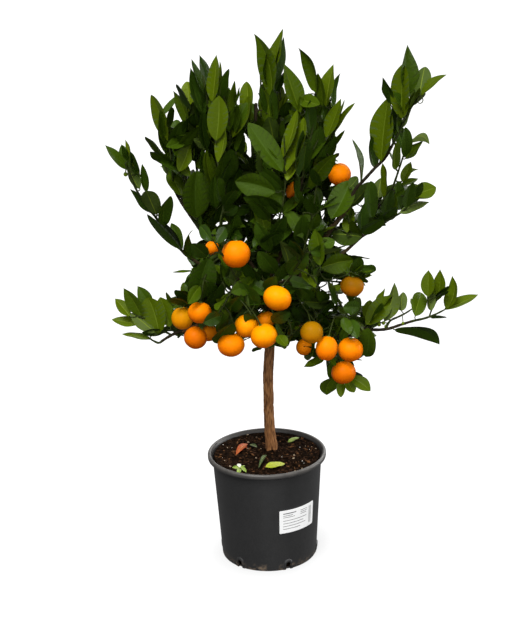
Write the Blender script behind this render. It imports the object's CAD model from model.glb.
import math

import bmesh
import bpy
import numpy as np
from mathutils import Matrix


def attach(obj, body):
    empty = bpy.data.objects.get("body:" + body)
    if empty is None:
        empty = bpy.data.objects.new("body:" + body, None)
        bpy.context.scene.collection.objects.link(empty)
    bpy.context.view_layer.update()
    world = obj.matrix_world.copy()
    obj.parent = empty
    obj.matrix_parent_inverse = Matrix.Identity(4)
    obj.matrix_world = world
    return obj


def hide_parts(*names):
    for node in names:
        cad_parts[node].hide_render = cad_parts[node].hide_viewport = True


# Calamondin orange tree in its round nursery pot.
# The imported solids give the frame. The trunk and boughs become one bark mesh; each
# mass of foliage becomes shoots, twigs, leaves and fruit that grow on from the boughs.
# Everything below is in millimetres until a mesh is written.

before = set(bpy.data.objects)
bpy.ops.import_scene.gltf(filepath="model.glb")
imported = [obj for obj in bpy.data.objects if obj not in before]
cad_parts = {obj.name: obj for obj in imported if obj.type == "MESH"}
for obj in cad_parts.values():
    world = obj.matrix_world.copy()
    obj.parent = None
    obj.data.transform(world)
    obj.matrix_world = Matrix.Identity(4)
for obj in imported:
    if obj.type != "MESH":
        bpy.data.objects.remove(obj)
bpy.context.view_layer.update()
MM = 0.001
SEED = 20417
rng = np.random.default_rng(SEED)
UPWARD = np.array([0.0, 0.0, 1.0])

# ------------------------------------------------------------------ the camera
# The view that the shoots and leaves of the front are laid out in: a picture of
# 526 x 640 points, seen from EYE.
EYE = np.array([0.0, -1610.0, 868.0])
PITCH, ROLL, FOCAL = math.radians(18.18), math.radians(1.66), 1275.0
FWD = np.array([0.0, math.cos(PITCH), -math.sin(PITCH)])
_up = np.array([0.0, math.sin(PITCH), math.cos(PITCH)])
_right = np.array([1.0, 0.0, 0.0])
CAM_X = math.cos(ROLL) * _right - math.sin(ROLL) * _up
CAM_Y = math.sin(ROLL) * _right + math.cos(ROLL) * _up
WIDE, HIGH = 526, 640


def at(px, py, y):
    """The point that is seen at px, py and stands at depth y."""
    ray = FWD * FOCAL + CAM_X * (px - 263.0) + CAM_Y * (320.0 - py)
    return EYE + ray * ((y - EYE[1]) / ray[1])


def at_height(px, py, z):
    ray = FWD * FOCAL + CAM_X * (px - 263.0) + CAM_Y * (320.0 - py)
    return EYE + ray * ((z - EYE[2]) / ray[2])


def seen(points):
    d = np.atleast_2d(points) - EYE
    away = d @ FWD
    return 263.0 + FOCAL * (d @ CAM_X) / away, 320.0 - FOCAL * (d @ CAM_Y) / away


def mm_per_point(p):
    return float((np.asarray(p) - EYE) @ FWD) / FOCAL


# ------------------------------------------------------------------- helpers

def unit(v):
    v = np.asarray(v, float)
    n = np.linalg.norm(v)
    return v / n if n > 1e-9 else np.array([0.0, 0.0, 1.0])


def square_to(v, axis):
    """The part of v that is square to axis, at length 1."""
    v = np.asarray(v, float)
    out = v - axis * float(v @ axis)
    if np.linalg.norm(out) < 1e-6:
        out = np.cross(axis, [1.0, 0.0, 0.0]) if abs(axis[0]) < 0.9 else np.cross(axis, [0.0, 1.0, 0.0])
    return unit(out)


class Grain:
    """Smooth repeatable noise between about -1 and 1."""

    def __init__(self, seed):
        r = np.random.default_rng(seed)
        p = r.permutation(256)
        self.perm = np.concatenate([p, p])
        g = r.normal(size=(256, 3))
        self.grad = g / np.linalg.norm(g, axis=1, keepdims=True)

    def __call__(self, p):
        p = np.atleast_2d(p)
        i = np.floor(p).astype(int)
        f = p - i
        w = f * f * f * (f * (f * 6 - 15) + 10)
        i &= 255
        out = np.zeros(len(p))
        for dx in (0, 1):
            a = self.perm[(i[:, 0] + dx) & 255]
            for dy in (0, 1):
                b = self.perm[(a + i[:, 1] + dy) & 255]
                for dz in (0, 1):
                    h = self.perm[(b + i[:, 2] + dz) & 255]
                    d = (self.grad[h] * (f - [dx, dy, dz])).sum(1)
                    wt = (w[:, 0] if dx else 1 - w[:, 0]) * (w[:, 1] if dy else 1 - w[:, 1]) * (w[:, 2] if dz else 1 - w[:, 2])
                    out += wt * d
        return out * 1.5


class Curve:
    """Centripetal Catmull-Rom through control points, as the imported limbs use."""

    def __init__(self, points):
        self.p = np.asarray(points, float)

    def point(self, t):
        p, n = self.p, len(self.p)
        s = (n - 1) * t
        k = int(math.floor(s))
        w = s - k
        if k >= n - 1:
            k, w = n - 2, 1.0
        if k < 0:
            k, w = 0, 0.0
        p1, p2 = p[k], p[k + 1]
        p0 = p[k - 1] if k > 0 else 2 * p[0] - p[1]
        p3 = p[k + 2] if k + 2 < n else 2 * p[n - 1] - p[n - 2]
        d = [max(float(((b - a) ** 2).sum()), 0.0) ** 0.25 for a, b in ((p0, p1), (p1, p2), (p2, p3))]
        if d[1] < 1e-4:
            d[1] = 1.0
        if d[0] < 1e-4:
            d[0] = d[1]
        if d[2] < 1e-4:
            d[2] = d[1]
        t1 = ((p1 - p0) / d[0] - (p2 - p0) / (d[0] + d[1]) + (p2 - p1) / d[1]) * d[1]
        t2 = ((p2 - p1) / d[1] - (p3 - p1) / (d[1] + d[2]) + (p3 - p2) / d[2]) * d[1]
        return p1 + t1 * w + (-3 * p1 + 3 * p2 - 2 * t1 - t2) * w * w + (2 * p1 - 2 * p2 + t1 + t2) * w * w * w

    def sample(self, step):
        """Points about step apart, evenly."""
        raw = np.array([self.point(t) for t in np.linspace(0, 1, 12 * (len(self.p) - 1) + 1)])
        return even(raw, step)


def even(raw, step):
    gaps = np.linalg.norm(np.diff(raw, axis=0), axis=1)
    s = np.concatenate([[0], np.cumsum(gaps)])
    n = max(3, int(round(s[-1] / step)))
    want = np.linspace(0, s[-1], n + 1)
    return np.stack([np.interp(want, s, raw[:, k]) for k in range(3)], axis=1)


def headings(path):
    d = np.gradient(path, axis=0)
    return d / np.maximum(np.linalg.norm(d, axis=1, keepdims=True), 1e-9)


def frames(path, hint=None):
    """Headings with two directions across them, carried along without twist."""
    d = headings(path)
    u = np.zeros_like(d)
    v = square_to(hint if hint is not None else ([0, 1, 0] if abs(d[0][1]) < 0.9 else [1, 0, 0]), d[0])
    for i in range(len(d)):
        v = square_to(v, d[i])
        u[i] = v
    return d, u, np.cross(d, u)


class Soup:
    """Vertices, faces and their materials, gathered into one mesh."""

    def __init__(self):
        self.v, self.f, self.m, self.n, self.extra = [], [], [], 0, []

    def add(self, verts, faces, mats, extra=None):
        """Faces are rows of four corners, with -1 last for a triangle."""
        faces = np.asarray(faces, np.int64)
        self.v.append(np.asarray(verts, np.float64))
        self.f.append(np.where(faces < 0, -1, faces + self.n))
        self.m.append(np.broadcast_to(np.asarray(mats, np.int32), (len(faces),)))
        self.extra.append(np.zeros(len(verts)) if extra is None else np.asarray(extra, float))
        self.n += len(verts)

    def triangles(self):
        return int(sum(np.where(f[:, 3] < 0, 1, 2).sum() for f in self.f))

    def object(self, name, materials, sharp=55.0, attribute=None):
        v = np.concatenate(self.v) * MM
        f = np.concatenate(self.f)
        m = np.concatenate(self.m)
        loops = f[f >= 0]
        count = np.where(f[:, 3] < 0, 3, 4)
        start = np.concatenate([[0], np.cumsum(count)[:-1]])
        me = bpy.data.meshes.new(name)
        me.vertices.add(len(v))
        me.vertices.foreach_set("co", v.astype(np.float32).ravel())
        me.loops.add(len(loops))
        me.loops.foreach_set("vertex_index", loops.astype(np.int32))
        me.polygons.add(len(f))
        me.polygons.foreach_set("loop_start", start.astype(np.int32))
        for mat in materials:
            me.materials.append(mat)
        me.polygons.foreach_set("material_index", m.astype(np.int32))
        me.polygons.foreach_set("use_smooth", np.ones(len(f), bool))
        me.update(calc_edges=True)
        me.validate()
        if sharp is not None:
            me.set_sharp_from_angle(angle=math.radians(sharp))
        if attribute:
            a = me.attributes.new(attribute, "FLOAT", "POINT")
            a.data.foreach_set("value", np.concatenate(self.extra).astype(np.float32))
        ob = bpy.data.objects.new(name, me)
        bpy.context.scene.collection.objects.link(ob)
        return ob


def tube(soup, path, radii, sides, mat, relief=None, hint=None, blunt=0.6):
    """A closed tapering tube. relief(path index, angle, s) gives an added radius and a shade."""
    path = np.asarray(path, float)
    n = len(path)
    radii = np.broadcast_to(np.asarray(radii, float), (n,))
    d, u, w = frames(path, hint)
    a = np.arange(sides) * (2 * math.pi / sides)
    ring = np.cos(a)[None, :, None] * u[:, None, :] + np.sin(a)[None, :, None] * w[:, None, :]
    r = np.repeat(radii[:, None], sides, axis=1)
    shade = np.zeros((n, sides))
    if relief is not None:
        s = np.concatenate([[0], np.cumsum(np.linalg.norm(np.diff(path, axis=0), axis=1))])
        more, shade = relief(s, a, radii)
        r = r + more
    verts = (path[:, None, :] + ring * r[:, :, None]).reshape(-1, 3)
    ends = np.stack([path[0] - d[0] * radii[0] * blunt * 0.5, path[-1] + d[-1] * radii[-1] * blunt])
    i, j = np.meshgrid(np.arange(n - 1), np.arange(sides), indexing="ij")
    k = (j + 1) % sides
    quads = np.stack([i * sides + j, i * sides + k, (i + 1) * sides + k, (i + 1) * sides + j], axis=-1).reshape(-1, 4)
    jj = np.arange(sides)
    kk = (jj + 1) % sides
    first, last = n * sides, n * sides + 1
    cap = np.stack([np.full(sides, first), kk, jj, np.full(sides, -1)], axis=-1)
    top = (n - 1) * sides
    cup = np.stack([np.full(sides, last), top + jj, top + kk, np.full(sides, -1)], axis=-1)
    soup.add(np.concatenate([verts, ends]), np.concatenate([quads, cap, cup]), mat,
             np.concatenate([shade.reshape(-1), [0.5, 0.5]]))


# ------------------------------------------------------------------ materials

def srgb(r, g, b):
    def one(c):
        c /= 255.0
        return c / 12.92 if c <= 0.04045 else ((c + 0.055) / 1.055) ** 2.4
    return (one(r), one(g), one(b), 1.0)


class Nodes:
    def __init__(self, name, rough=0.5, spec=0.5, colour=None):
        self.mat = bpy.data.materials.new(name)
        self.mat.use_nodes = True
        self.nt = self.mat.node_tree
        self.bsdf = self.nt.nodes["Principled BSDF"]
        self.bsdf.inputs["Roughness"].default_value = rough
        self.bsdf.inputs["Specular IOR Level"].default_value = spec
        if colour is not None:
            self.bsdf.inputs["Base Color"].default_value = colour
            self.mat.diffuse_color = colour

    def new(self, kind, **settings):
        node = self.nt.nodes.new(kind)
        for key, value in settings.items():
            setattr(node, key, value)
        return node

    def link(self, a, b):
        self.nt.links.new(a, b)

    def coords(self, scale=(1, 1, 1)):
        tc = self.new("ShaderNodeTexCoord")
        mp = self.new("ShaderNodeMapping")
        mp.inputs["Scale"].default_value = scale
        self.link(tc.outputs["Object"], mp.inputs["Vector"])
        return mp.outputs["Vector"]

    def noise(self, vector, scale, detail=4.0, rough=0.55):
        n = self.new("ShaderNodeTexNoise")
        n.inputs["Scale"].default_value = scale
        n.inputs["Detail"].default_value = detail
        n.inputs["Roughness"].default_value = rough
        self.link(vector, n.inputs["Vector"])
        return n.outputs["Fac"]

    def ramp(self, value, stops):
        r = self.new("ShaderNodeValToRGB")
        e = r.color_ramp.elements
        e[0].position, e[0].color = stops[0]
        e[1].position, e[1].color = stops[-1]
        for pos, colour in stops[1:-1]:
            x = e.new(pos)
            x.color = colour
        self.link(value, r.inputs["Fac"])
        return r.outputs["Color"]

    def mix(self, factor, a, b, kind="MIX"):
        m = self.new("ShaderNodeMix", data_type="RGBA", blend_type=kind)
        if isinstance(factor, (int, float)):
            m.inputs["Factor"].default_value = factor
        else:
            self.link(factor, m.inputs["Factor"])
        for socket, v in ((m.inputs["A"], a), (m.inputs["B"], b)):
            if isinstance(v, tuple):
                socket.default_value = v
            else:
                self.link(v, socket)
        return m.outputs["Result"]

    def grey(self, lo, hi, value):
        m = self.new("ShaderNodeMapRange")
        m.inputs["To Min"].default_value = lo
        m.inputs["To Max"].default_value = hi
        self.link(value, m.inputs["Value"])
        return m.outputs["Result"]

    def bump(self, height, strength, distance, after=None):
        b = self.new("ShaderNodeBump")
        b.inputs["Strength"].default_value = strength
        b.inputs["Distance"].default_value = distance
        self.link(height, b.inputs["Height"])
        if after is not None:
            self.link(after, b.inputs["Normal"])
        return b.outputs["Normal"]

    def base(self, socket):
        self.link(socket, self.bsdf.inputs["Base Color"])

    def normal(self, socket):
        self.link(socket, self.bsdf.inputs["Normal"])

    def rough(self, socket):
        self.link(socket, self.bsdf.inputs["Roughness"])


def plain(name, colour, rough, spec):
    """A plain base colour over a faintly quilted skin."""
    n = Nodes(name, rough, spec, (colour[0], colour[1], colour[2], 1.0))
    n.normal(n.bump(n.noise(n.coords(), 330, 2.0), 0.55, 0.0011))
    return n.mat


# leaves: plain colours, dealt out shoot by shoot
LEAF_TINTS = [
    (0.0170, 0.0380, 0.0024),  # 0 deep shade green
    (0.0250, 0.0525, 0.0026),  # 1 dark
    (0.0315, 0.0600, 0.0022),  # 2
    (0.0390, 0.0670, 0.0014),  # 3 mid
    (0.0480, 0.0740, 0.0012),  # 4 olive
    (0.0590, 0.0900, 0.0018),  # 5 bright
    (0.0930, 0.1330, 0.0036),  # 6 yellow-green, youngest
]
LEAF_ROUGH = [0.30, 0.30, 0.31, 0.33, 0.36, 0.36, 0.40]
LEAF_SPEC = [0.10, 0.09, 0.08, 0.06, 0.04, 0.04, 0.04]
LEAF_MATS = [plain(f"leaf_green_{i}", c, LEAF_ROUGH[i], LEAF_SPEC[i]) for i, c in enumerate(LEAF_TINTS)]
UNDER_MATS = [plain("leaf_under_dark", (0.029, 0.049, 0.006), 0.62, 0.04),
              plain("leaf_under_mid", (0.046, 0.072, 0.012), 0.62, 0.05),
              plain("leaf_under_pale", (0.064, 0.092, 0.018), 0.62, 0.05)]
RIB_MATS = [plain("leaf_rib_dark", (0.042, 0.078, 0.006), 0.45, 0.08),
            plain("leaf_rib_mid", (0.076, 0.110, 0.006), 0.45, 0.08),
            plain("leaf_rib_pale", (0.120, 0.160, 0.012), 0.5, 0.08)]
ALL_LEAF_MATS = LEAF_MATS + UNDER_MATS + RIB_MATS
UNDER_OF = [0, 0, 0, 1, 1, 2, 2]
RIB_OF = [0, 0, 0, 1, 1, 2, 2]

# ------------------------------------------------------------------- the limbs

GAP = 0.35
FORK = np.array([6.6, -2.0, 338.0])
FOOT = np.array([5.7, 14.0, 146.0 + GAP])


def trunk_curve():
    pts = []
    for i in range(7):
        t = i / 6
        p = FOOT + (FORK - FOOT) * t
        p[0] += -2.6 * math.sin(math.pi * t)
        p[1] += 1.2 * math.sin(2 * math.pi * t)
        pts.append(p)
    return Curve(pts)


BOUGHS = [
    ("bough_left", "trunk", 0.86, (-58, 0, 436), 4.9, 6),
    ("bough_right", "trunk", 0.9, (113, -20, 494), 5.2, 10),
    ("bough_centre", "trunk", 1, (13, 0, 452), 5.4, 0),
    ("bough_back", "trunk", 0.94, (-2, 81, 442), 4.8, 8),
    ("bough_front", "trunk", 0.9, (-1, -57, 420), 4.4, 4),
    ("bough_lower_left", "trunk", 0.93, (-106, -35, 339), 4.0, 12),
    ("bough_lower_right", "trunk", 0.84, (119, -31, 338), 4.2, 16),
    ("bough_left_arch", "bough_left", 0.62, (-92, -32, 437), 3.2, -3),
    ("bough_left_upright", "bough_centre", 0.4, (-36, -11, 456), 3.3, 3),
    ("bough_right_upright", "bough_centre", 0.55, (39, 0, 456), 3.3, 2),
    ("bough_right_outer", "bough_right", 0.62, (143, 10, 474), 3.0, 4),
    ("bough_right_side", "bough_right", 0.38, (129, -32, 458), 3.0, -4),
    ("bough_back_left", "bough_back", 0.45, (-65, 64, 446), 3.3, -3),
    ("bough_back_right", "bough_back", 0.55, (69, 66, 450), 3.3, -3),
    ("bough_back_arch", "bough_back", 0.78, (0, 115, 423), 2.9, 4),
    ("bough_low_back", "bough_back", 0.2, (12, 118, 361), 3.0, 8),
    ("bough_hanging", "bough_lower_right", 0.5, (82, -48, 322), 2.8, 0),
    ("bough_front_left", "bough_front", 0.5, (-31, -84, 422), 2.9, 3),
    ("bough_front_right", "bough_front", 0.62, (33, -84, 418), 2.9, 3),
    ("bough_upper_front_left", "bough_left", 0.48, (-45, -60, 448), 3.0, 2),
    ("bough_upper_front_right", "bough_right", 0.24, (53, -56, 444), 3.0, 2),
]

LIMBS = {"trunk": trunk_curve()}
for name, parent, share, end, radius, bow in BOUGHS:
    src = LIMBS[parent]
    start = src.point(share)
    if parent == "trunk" and share == 1:
        start = start + unit(src.point(1) - src.point(0.999)) * GAP
    end = np.array(end, float)
    reach = end - start
    away = np.zeros(3) if share == 1 else unit([reach[0], reach[1], 0])
    early = start + reach * 0.3 + away * 2 + np.array([0, 0, bow * 0.7])
    late = start + reach * 0.68 + np.array([0, 0, bow])
    LIMBS[name] = Curve([start, early, late, end])


class Skeleton:
    """Points along every limb, shoot and twig, that others can grow from."""

    def __init__(self):
        self.pos, self.dir, self.rad, self.own = [], [], [], []

    def add(self, path, radii, owner):
        self.pos.extend(path)
        self.dir.extend(headings(path))
        self.rad.extend(radii)
        self.own.extend([owner] * len(path))
        self.ready = None

    def arrays(self):
        if self.ready is None:
            self.ready = (np.array(self.pos), np.array(self.dir), np.array(self.rad), np.array(self.own))
        return self.ready


skeleton = Skeleton()
bark = Soup()
bark_grain, bark_fine = Grain(11), Grain(12)


def bark_relief(seed, knots=()):
    """Long shallow fissures that run along the limb, with a few knots."""
    def made(s, a, radii):
        ss, aa = np.meshgrid(s, a, indexing="ij")
        rr = np.repeat(radii[:, None], len(a), axis=1)
        around = np.maximum(rr, 2.0)
        wander = 0.25 * bark_grain(np.stack([ss / 22 + seed, np.full_like(ss, 3.3), np.full_like(ss, 1.7)], -1).reshape(-1, 3)).reshape(ss.shape)
        x, y = np.cos(aa + wander) * around, np.sin(aa + wander) * around
        p = np.stack([x / 1.9, y / 1.9, ss / 17 + seed * 7.3], -1).reshape(-1, 3)
        q = np.stack([x / 0.9, y / 0.9, ss / 5.5 + seed * 3.1], -1).reshape(-1, 3)
        w = np.stack([x / 9, y / 9, ss / 26 + seed], -1).reshape(-1, 3)
        ridge = 1 - np.minimum(1, 2.6 * np.abs(bark_grain(p)))
        fine = bark_fine(q)
        ridge = ridge.reshape(ss.shape)
        fine = fine.reshape(ss.shape)
        lump = bark_fine(w).reshape(ss.shape)
        size = np.clip(rr / 7.0, 0.25, 1.1)
        out = size * (-0.62 * ridge ** 1.4 + 0.20 * fine + 0.42 * lump)
        for where, angle, high, wide in knots:
            da = np.angle(np.exp(1j * (aa - angle))) * around
            out = out + high * np.exp(-(((ss - where) / wide) ** 2 + (da / wide) ** 2))
        shade = np.clip(0.62 - 0.55 * ridge ** 1.2 + 0.28 * fine + 0.18 * lump, 0, 1)
        return out, shade
    return made


trunk_height = FORK[2] - FOOT[2]
raw = np.array([LIMBS["trunk"].point(t) for t in np.linspace(0, 1, 200)])
below = raw[0] + np.array([0, 0, -5.0])
path = even(np.concatenate([[below], raw]), 1.05)
path[:, 0] += 2.7 * np.exp(-((path[:, 2] - 302) / 34.0) ** 2) + 0.9 * np.exp(-((path[:, 2] - 236) / 46.0) ** 2) + 1.2 * np.exp(-((path[:, 2] - 150) / 16.0) ** 2)
t = np.clip((path[:, 2] - FOOT[2]) / trunk_height, 0, 1)
trunk_r = 7.3 + (6.7 - 7.3) * t + 1.3 * np.exp(-t * trunk_height / 18)
# the root flare stands out unevenly, in three low buttresses
def trunk_relief(s, a, radii):
    out, shade = bark_relief(1, knots=((38, 4.1, 0.7, 3.2), (92, 5.3, 0.9, 3.0), (141, 3.9, 0.8, 3.4), (120, 1.0, 0.9, 4.0), (64, 2.2, 0.8, 4.0)))(s, a, radii)
    foot = np.exp(-np.maximum(s - 4, 0) / 9)[:, None]
    return out + foot * (0.6 * np.cos(3 * a + 0.6)[None, :] + 0.3 * np.cos(5 * a)[None, :]), shade
tube(bark, path, trunk_r, 72, 0, relief=trunk_relief)
skeleton.add(path[60::4], trunk_r[60::4], "trunk")

BOUGH_TIP, BOUGH_PATH = {}, {}
for n, (name, parent, share, end, radius, bow) in enumerate(BOUGHS):
    raw = np.array([LIMBS[name].point(t) for t in np.linspace(0, 1, 80)])
    path = even(raw, 1.25)
    t = np.linspace(0, 1, len(path))
    s = t * np.linalg.norm(np.diff(path, axis=0), axis=1).sum()
    r = radius * (1 - 0.38 * t)
    r = r * (1 + 0.35 * np.exp(-s / 7.0))  # the collar where it leaves its parent
    tube(bark, path, r, 22, 0, relief=bark_relief(5.1 + 1.37 * n))
    skeleton.add(path[::3], r[::3], name)
    BOUGH_TIP[name] = (path[-1], unit(path[-1] - path[-4]), radius * 0.62)
    BOUGH_PATH[name] = (path[::3], r[::3])

# ------------------------------------------------------------ where leaves may be
# Outlines of the crown's clumps and circles of open sky, in picture points. The
# leaves that fill the crown keep inside the first and off the second.

CLUMPS = {
    "main": [(192, 78), (199, 74), (208, 76), (216, 74), (222, 82), (228, 88), (234, 96), (238, 106), (242, 96), (250, 96), (252, 106), (259, 108), (260, 92), (260, 62), (268, 52), (274, 48), (282, 50),
             (279, 74), (281, 90), (290, 96), (296, 92), (306, 96), (318, 102), (323, 92), (332, 90), (333, 102), (336, 110), (337, 124),
             (337, 134), (334, 150), (334, 160), (345, 168), (352, 184), (358, 194), (372, 184), (392, 184), (410, 182),
             (430, 188), (426, 200), (412, 211), (398, 216), (386, 223), (378, 229), (366, 236), (360, 241), (352, 242), (346, 243), (344, 250), (352, 256), (360, 257),
             (366, 264), (375, 270), (369, 277), (366, 284), (360, 292), (355, 299), (362, 304), (372, 303), (376, 320), (376, 344), (370, 350), (357, 360),
             (346, 366), (330, 360), (306, 364), (302, 352), (298, 345), (296, 338), (292, 342), (290, 347), (276, 348), (262, 349), (252, 344), (248, 336), (244, 342), (243, 352), (232, 356), (221, 352),
             (216, 340), (211, 334), (206, 342), (203, 347), (190, 347), (184, 338), (172, 336), (166, 326), (166, 300), (176, 296), (177, 290), (185, 283), (189, 276), (190, 268), (193, 262),
             (193, 244), (204, 240), (201, 234), (197, 228), (192, 220), (187, 212), (182, 204), (178, 196), (172, 187), (167, 178),
             (163, 170), (160, 161), (160, 150), (165, 144), (164, 134), (160, 126), (156, 116), (157, 104), (163, 110), (167, 116),
             (174, 118), (178, 122), (186, 122), (181, 106), (180, 100), (184, 96), (192, 90)],
    "left_arch": [(106, 146), (126, 146), (134, 156), (142, 166), (146, 180), (150, 192), (160, 199), (173, 205), (174, 222), (180, 233),
                  (190, 243), (206, 248), (208, 264), (190, 262), (180, 254), (171, 247), (165, 241), (156, 228), (149, 214), (141, 205),
                  (135, 196), (131, 184), (124, 176), (118, 164), (112, 156)],
    "right_arch": [(388, 100), (394, 84), (402, 66), (406, 54), (412, 54), (416, 72), (418, 90), (421, 96), (418, 103),
                   (412, 108), (407, 118), (404, 128), (412, 138), (412, 148), (406, 156), (404, 164), (404, 176), (412, 182),
                   (432, 188), (424, 202), (400, 211), (384, 221), (372, 229), (360, 236), (348, 246), (340, 230), (350, 206), (366, 190),
                   (380, 184), (392, 180), (394, 168), (392, 160), (382, 160), (374, 166), (371, 150), (372, 130), (376, 112)],
    "lower_left": [(126, 296), (140, 292), (152, 300), (164, 300), (172, 312), (174, 328), (166, 333), (150, 334),
                   (136, 326), (120, 320), (126, 312)],
    "lower_right": [(356, 306), (368, 302), (380, 300), (392, 288), (397, 296), (398, 310), (388, 320), (380, 326),
                    (374, 336), (356, 334)],
    "hanging": [(300, 344), (376, 344), (370, 351), (358, 361), (352, 370), (366, 384), (356, 390), (340, 395), (326, 390), (324, 378),
                (328, 368), (322, 360), (306, 366)],
}
# picture x, y and radius
SKY = [
    (389, 169, 4), (439, 304, 4.5), (402, 319, 3.5), (174, 102, 2.5), (176, 108, 3), (178, 114, 3), (181, 120, 2.5), (358, 208, 4), (377, 173, 4), (248, 134, 2.5), (249, 140, 3.5), (249, 146, 4), (249, 152, 3.5), (247, 156, 2.5), (344, 299, 5), (423, 313, 3),
    (193, 167, 4.5), (325, 287, 4), (336, 223, 4), (400, 139, 2), (406, 308, 2), (227, 291, 3.5), (171, 332, 2.5), (185, 246, 2.5),
    (336, 241, 2), (284, 84, 2), (329, 298, 2), (278, 216, 2), (171, 304, 2), (281, 69, 2), (203, 231, 2), (288, 99, 2),
    (258, 105, 1.5), (324, 310, 3.5), (335, 134, 2), (341, 275, 2), (343, 243, 2), (233, 315, 2), (208, 154, 3), (325, 326, 1.5),
    (253, 212, 2.5), (265, 214, 2.5), (279, 216, 3.5), (217, 224, 1.5), (215, 236, 1.5), (221, 240, 1.5), (257, 271, 2), (337, 244, 3.5), (346, 245, 3), (334, 235, 2), (293, 231, 2.5), (322, 208, 1.5), (317, 210, 1.5), (311, 156, 1.5), (248, 238, 2), (213, 281, 2.5), (209, 285, 1.5), (196, 171, 3), (190, 163, 2), (194, 161, 2.5), (210, 159, 2.5), (206, 151, 2.5), (323, 198, 2), (323, 204, 2), (322, 212, 2.5), (323, 218, 2), (272, 216, 2.5), (331, 292, 2), (320, 284, 2), (328, 309, 2.5), (338, 283, 2), (211, 283, 2.5), (230, 290, 2.5), (193, 300, 1.5),
]


def inside(poly, xs, ys):
    hit = np.zeros(xs.shape, bool)
    n = len(poly)
    for k in range(n):
        (x0, y0), (x1, y1) = poly[k], poly[(k + 1) % n]
        if y0 == y1:
            continue
        cross = (y0 > ys) != (y1 > ys)
        hit ^= cross & (xs < (x1 - x0) * (ys - y0) / (y1 - y0) + x0)
    return hit


GX, GY = np.meshgrid(np.arange(WIDE) + 0.5, np.arange(HIGH) + 0.5)
allowed = np.zeros((HIGH, WIDE), bool)
for poly in CLUMPS.values():
    allowed |= inside(poly, GX, GY)
for x, y, r in SKY:
    allowed &= (GX - x) ** 2 + (GY - y) ** 2 > r * r
allowed_wide = allowed.copy()
for dy, dx in ((0, 1), (0, -1), (1, 0), (-1, 0)):
    allowed_wide |= np.roll(allowed, (dy, dx), (0, 1))
sky = ~allowed_wide
front = np.full((HIGH, WIDE), 1e9)  # depth of the nearest named leaf or fruit
cover = np.zeros((HIGH, WIDE), np.int16)


def fill(px, py):
    """Rows and columns of the grid points inside a small outline."""
    x0, x1 = int(max(0, px.min() - 1)), int(min(WIDE - 1, px.max() + 1))
    y0, y1 = int(max(0, py.min() - 1)), int(min(HIGH - 1, py.max() + 1))
    if x1 <= x0 or y1 <= y0:
        return np.array([], int), np.array([], int)
    xs, ys = GX[y0:y1 + 1, x0:x1 + 1], GY[y0:y1 + 1, x0:x1 + 1]
    hit = inside(list(zip(px, py)), xs, ys)
    r, c = np.nonzero(hit)
    if not len(r):
        return np.clip(np.rint(py).astype(int), 0, HIGH - 1), np.clip(np.rint(px).astype(int), 0, WIDE - 1)
    return r + y0, c + x0


# -------------------------------------------------------------------- a leaf

def blade_shape(t, a=0.70, b=0.92):
    s = np.clip(t, 0, 1) ** a * np.clip(1 - t, 0, 1) ** b
    return s / ((a / (a + b)) ** a * (b / (a + b)) ** b)


class Template:
    """Face layout of a thin closed blade with its midrib."""

    def __init__(self, rings, top, low):
        self.rings, self.top, self.low = rings, np.array(top), np.array(low)
        i = np.arange(1, rings)
        self.t = (i / rings) ** 0.94
        nt, nl = len(top), len(low)
        per = nt + nl
        T = lambda r, c: 1 + (r - 1) * per + c
        def L(r, c):
            return T(r, 0) if c == 0 else T(r, nt - 1) if c == nl + 1 else 1 + (r - 1) * per + nt + c - 1
        tip = 1 + (rings - 1) * per
        faces, kinds = [], []
        lows = [-1.0] + list(low) + [1.0]
        for r in range(0, rings):
            for c in range(nt - 1):
                kind = 2 if abs((top[c] + top[c + 1]) / 2) < 0.03 else 0
                if r == 0:
                    faces.append((0, T(1, c + 1), T(1, c), -1))
                elif r == rings - 1:
                    faces.append((T(r, c), T(r, c + 1), tip, -1))
                else:
                    faces.append((T(r, c), T(r, c + 1), T(r + 1, c + 1), T(r + 1, c)))
                kinds.append(kind)
            for c in range(nl + 1):
                kind = 3 if abs((lows[c] + lows[c + 1]) / 2) < 0.03 else 1
                if r == 0:
                    faces.append((0, L(1, c), L(1, c + 1), -1))
                elif r == rings - 1:
                    faces.append((L(r, c + 1), L(r, c), tip, -1))
                else:
                    faces.append((L(r, c + 1), L(r, c), L(r + 1, c), L(r + 1, c + 1)))
                kinds.append(kind)
        self.faces, self.kinds = np.array(faces), np.array(kinds)


FINE = Template(18, (-1, -0.66, -0.33, -0.045, 0.045, 0.33, 0.66, 1), (-0.5, -0.05, 0.05, 0.5))
PLAIN = Template(11, (-1, -0.52, -0.05, 0.05, 0.52, 1), (-0.06, 0.06))
TEST_T = np.array([0.0, 0.08, 0.2, 0.35, 0.5, 0.65, 0.8, 0.92, 1.0])


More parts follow.
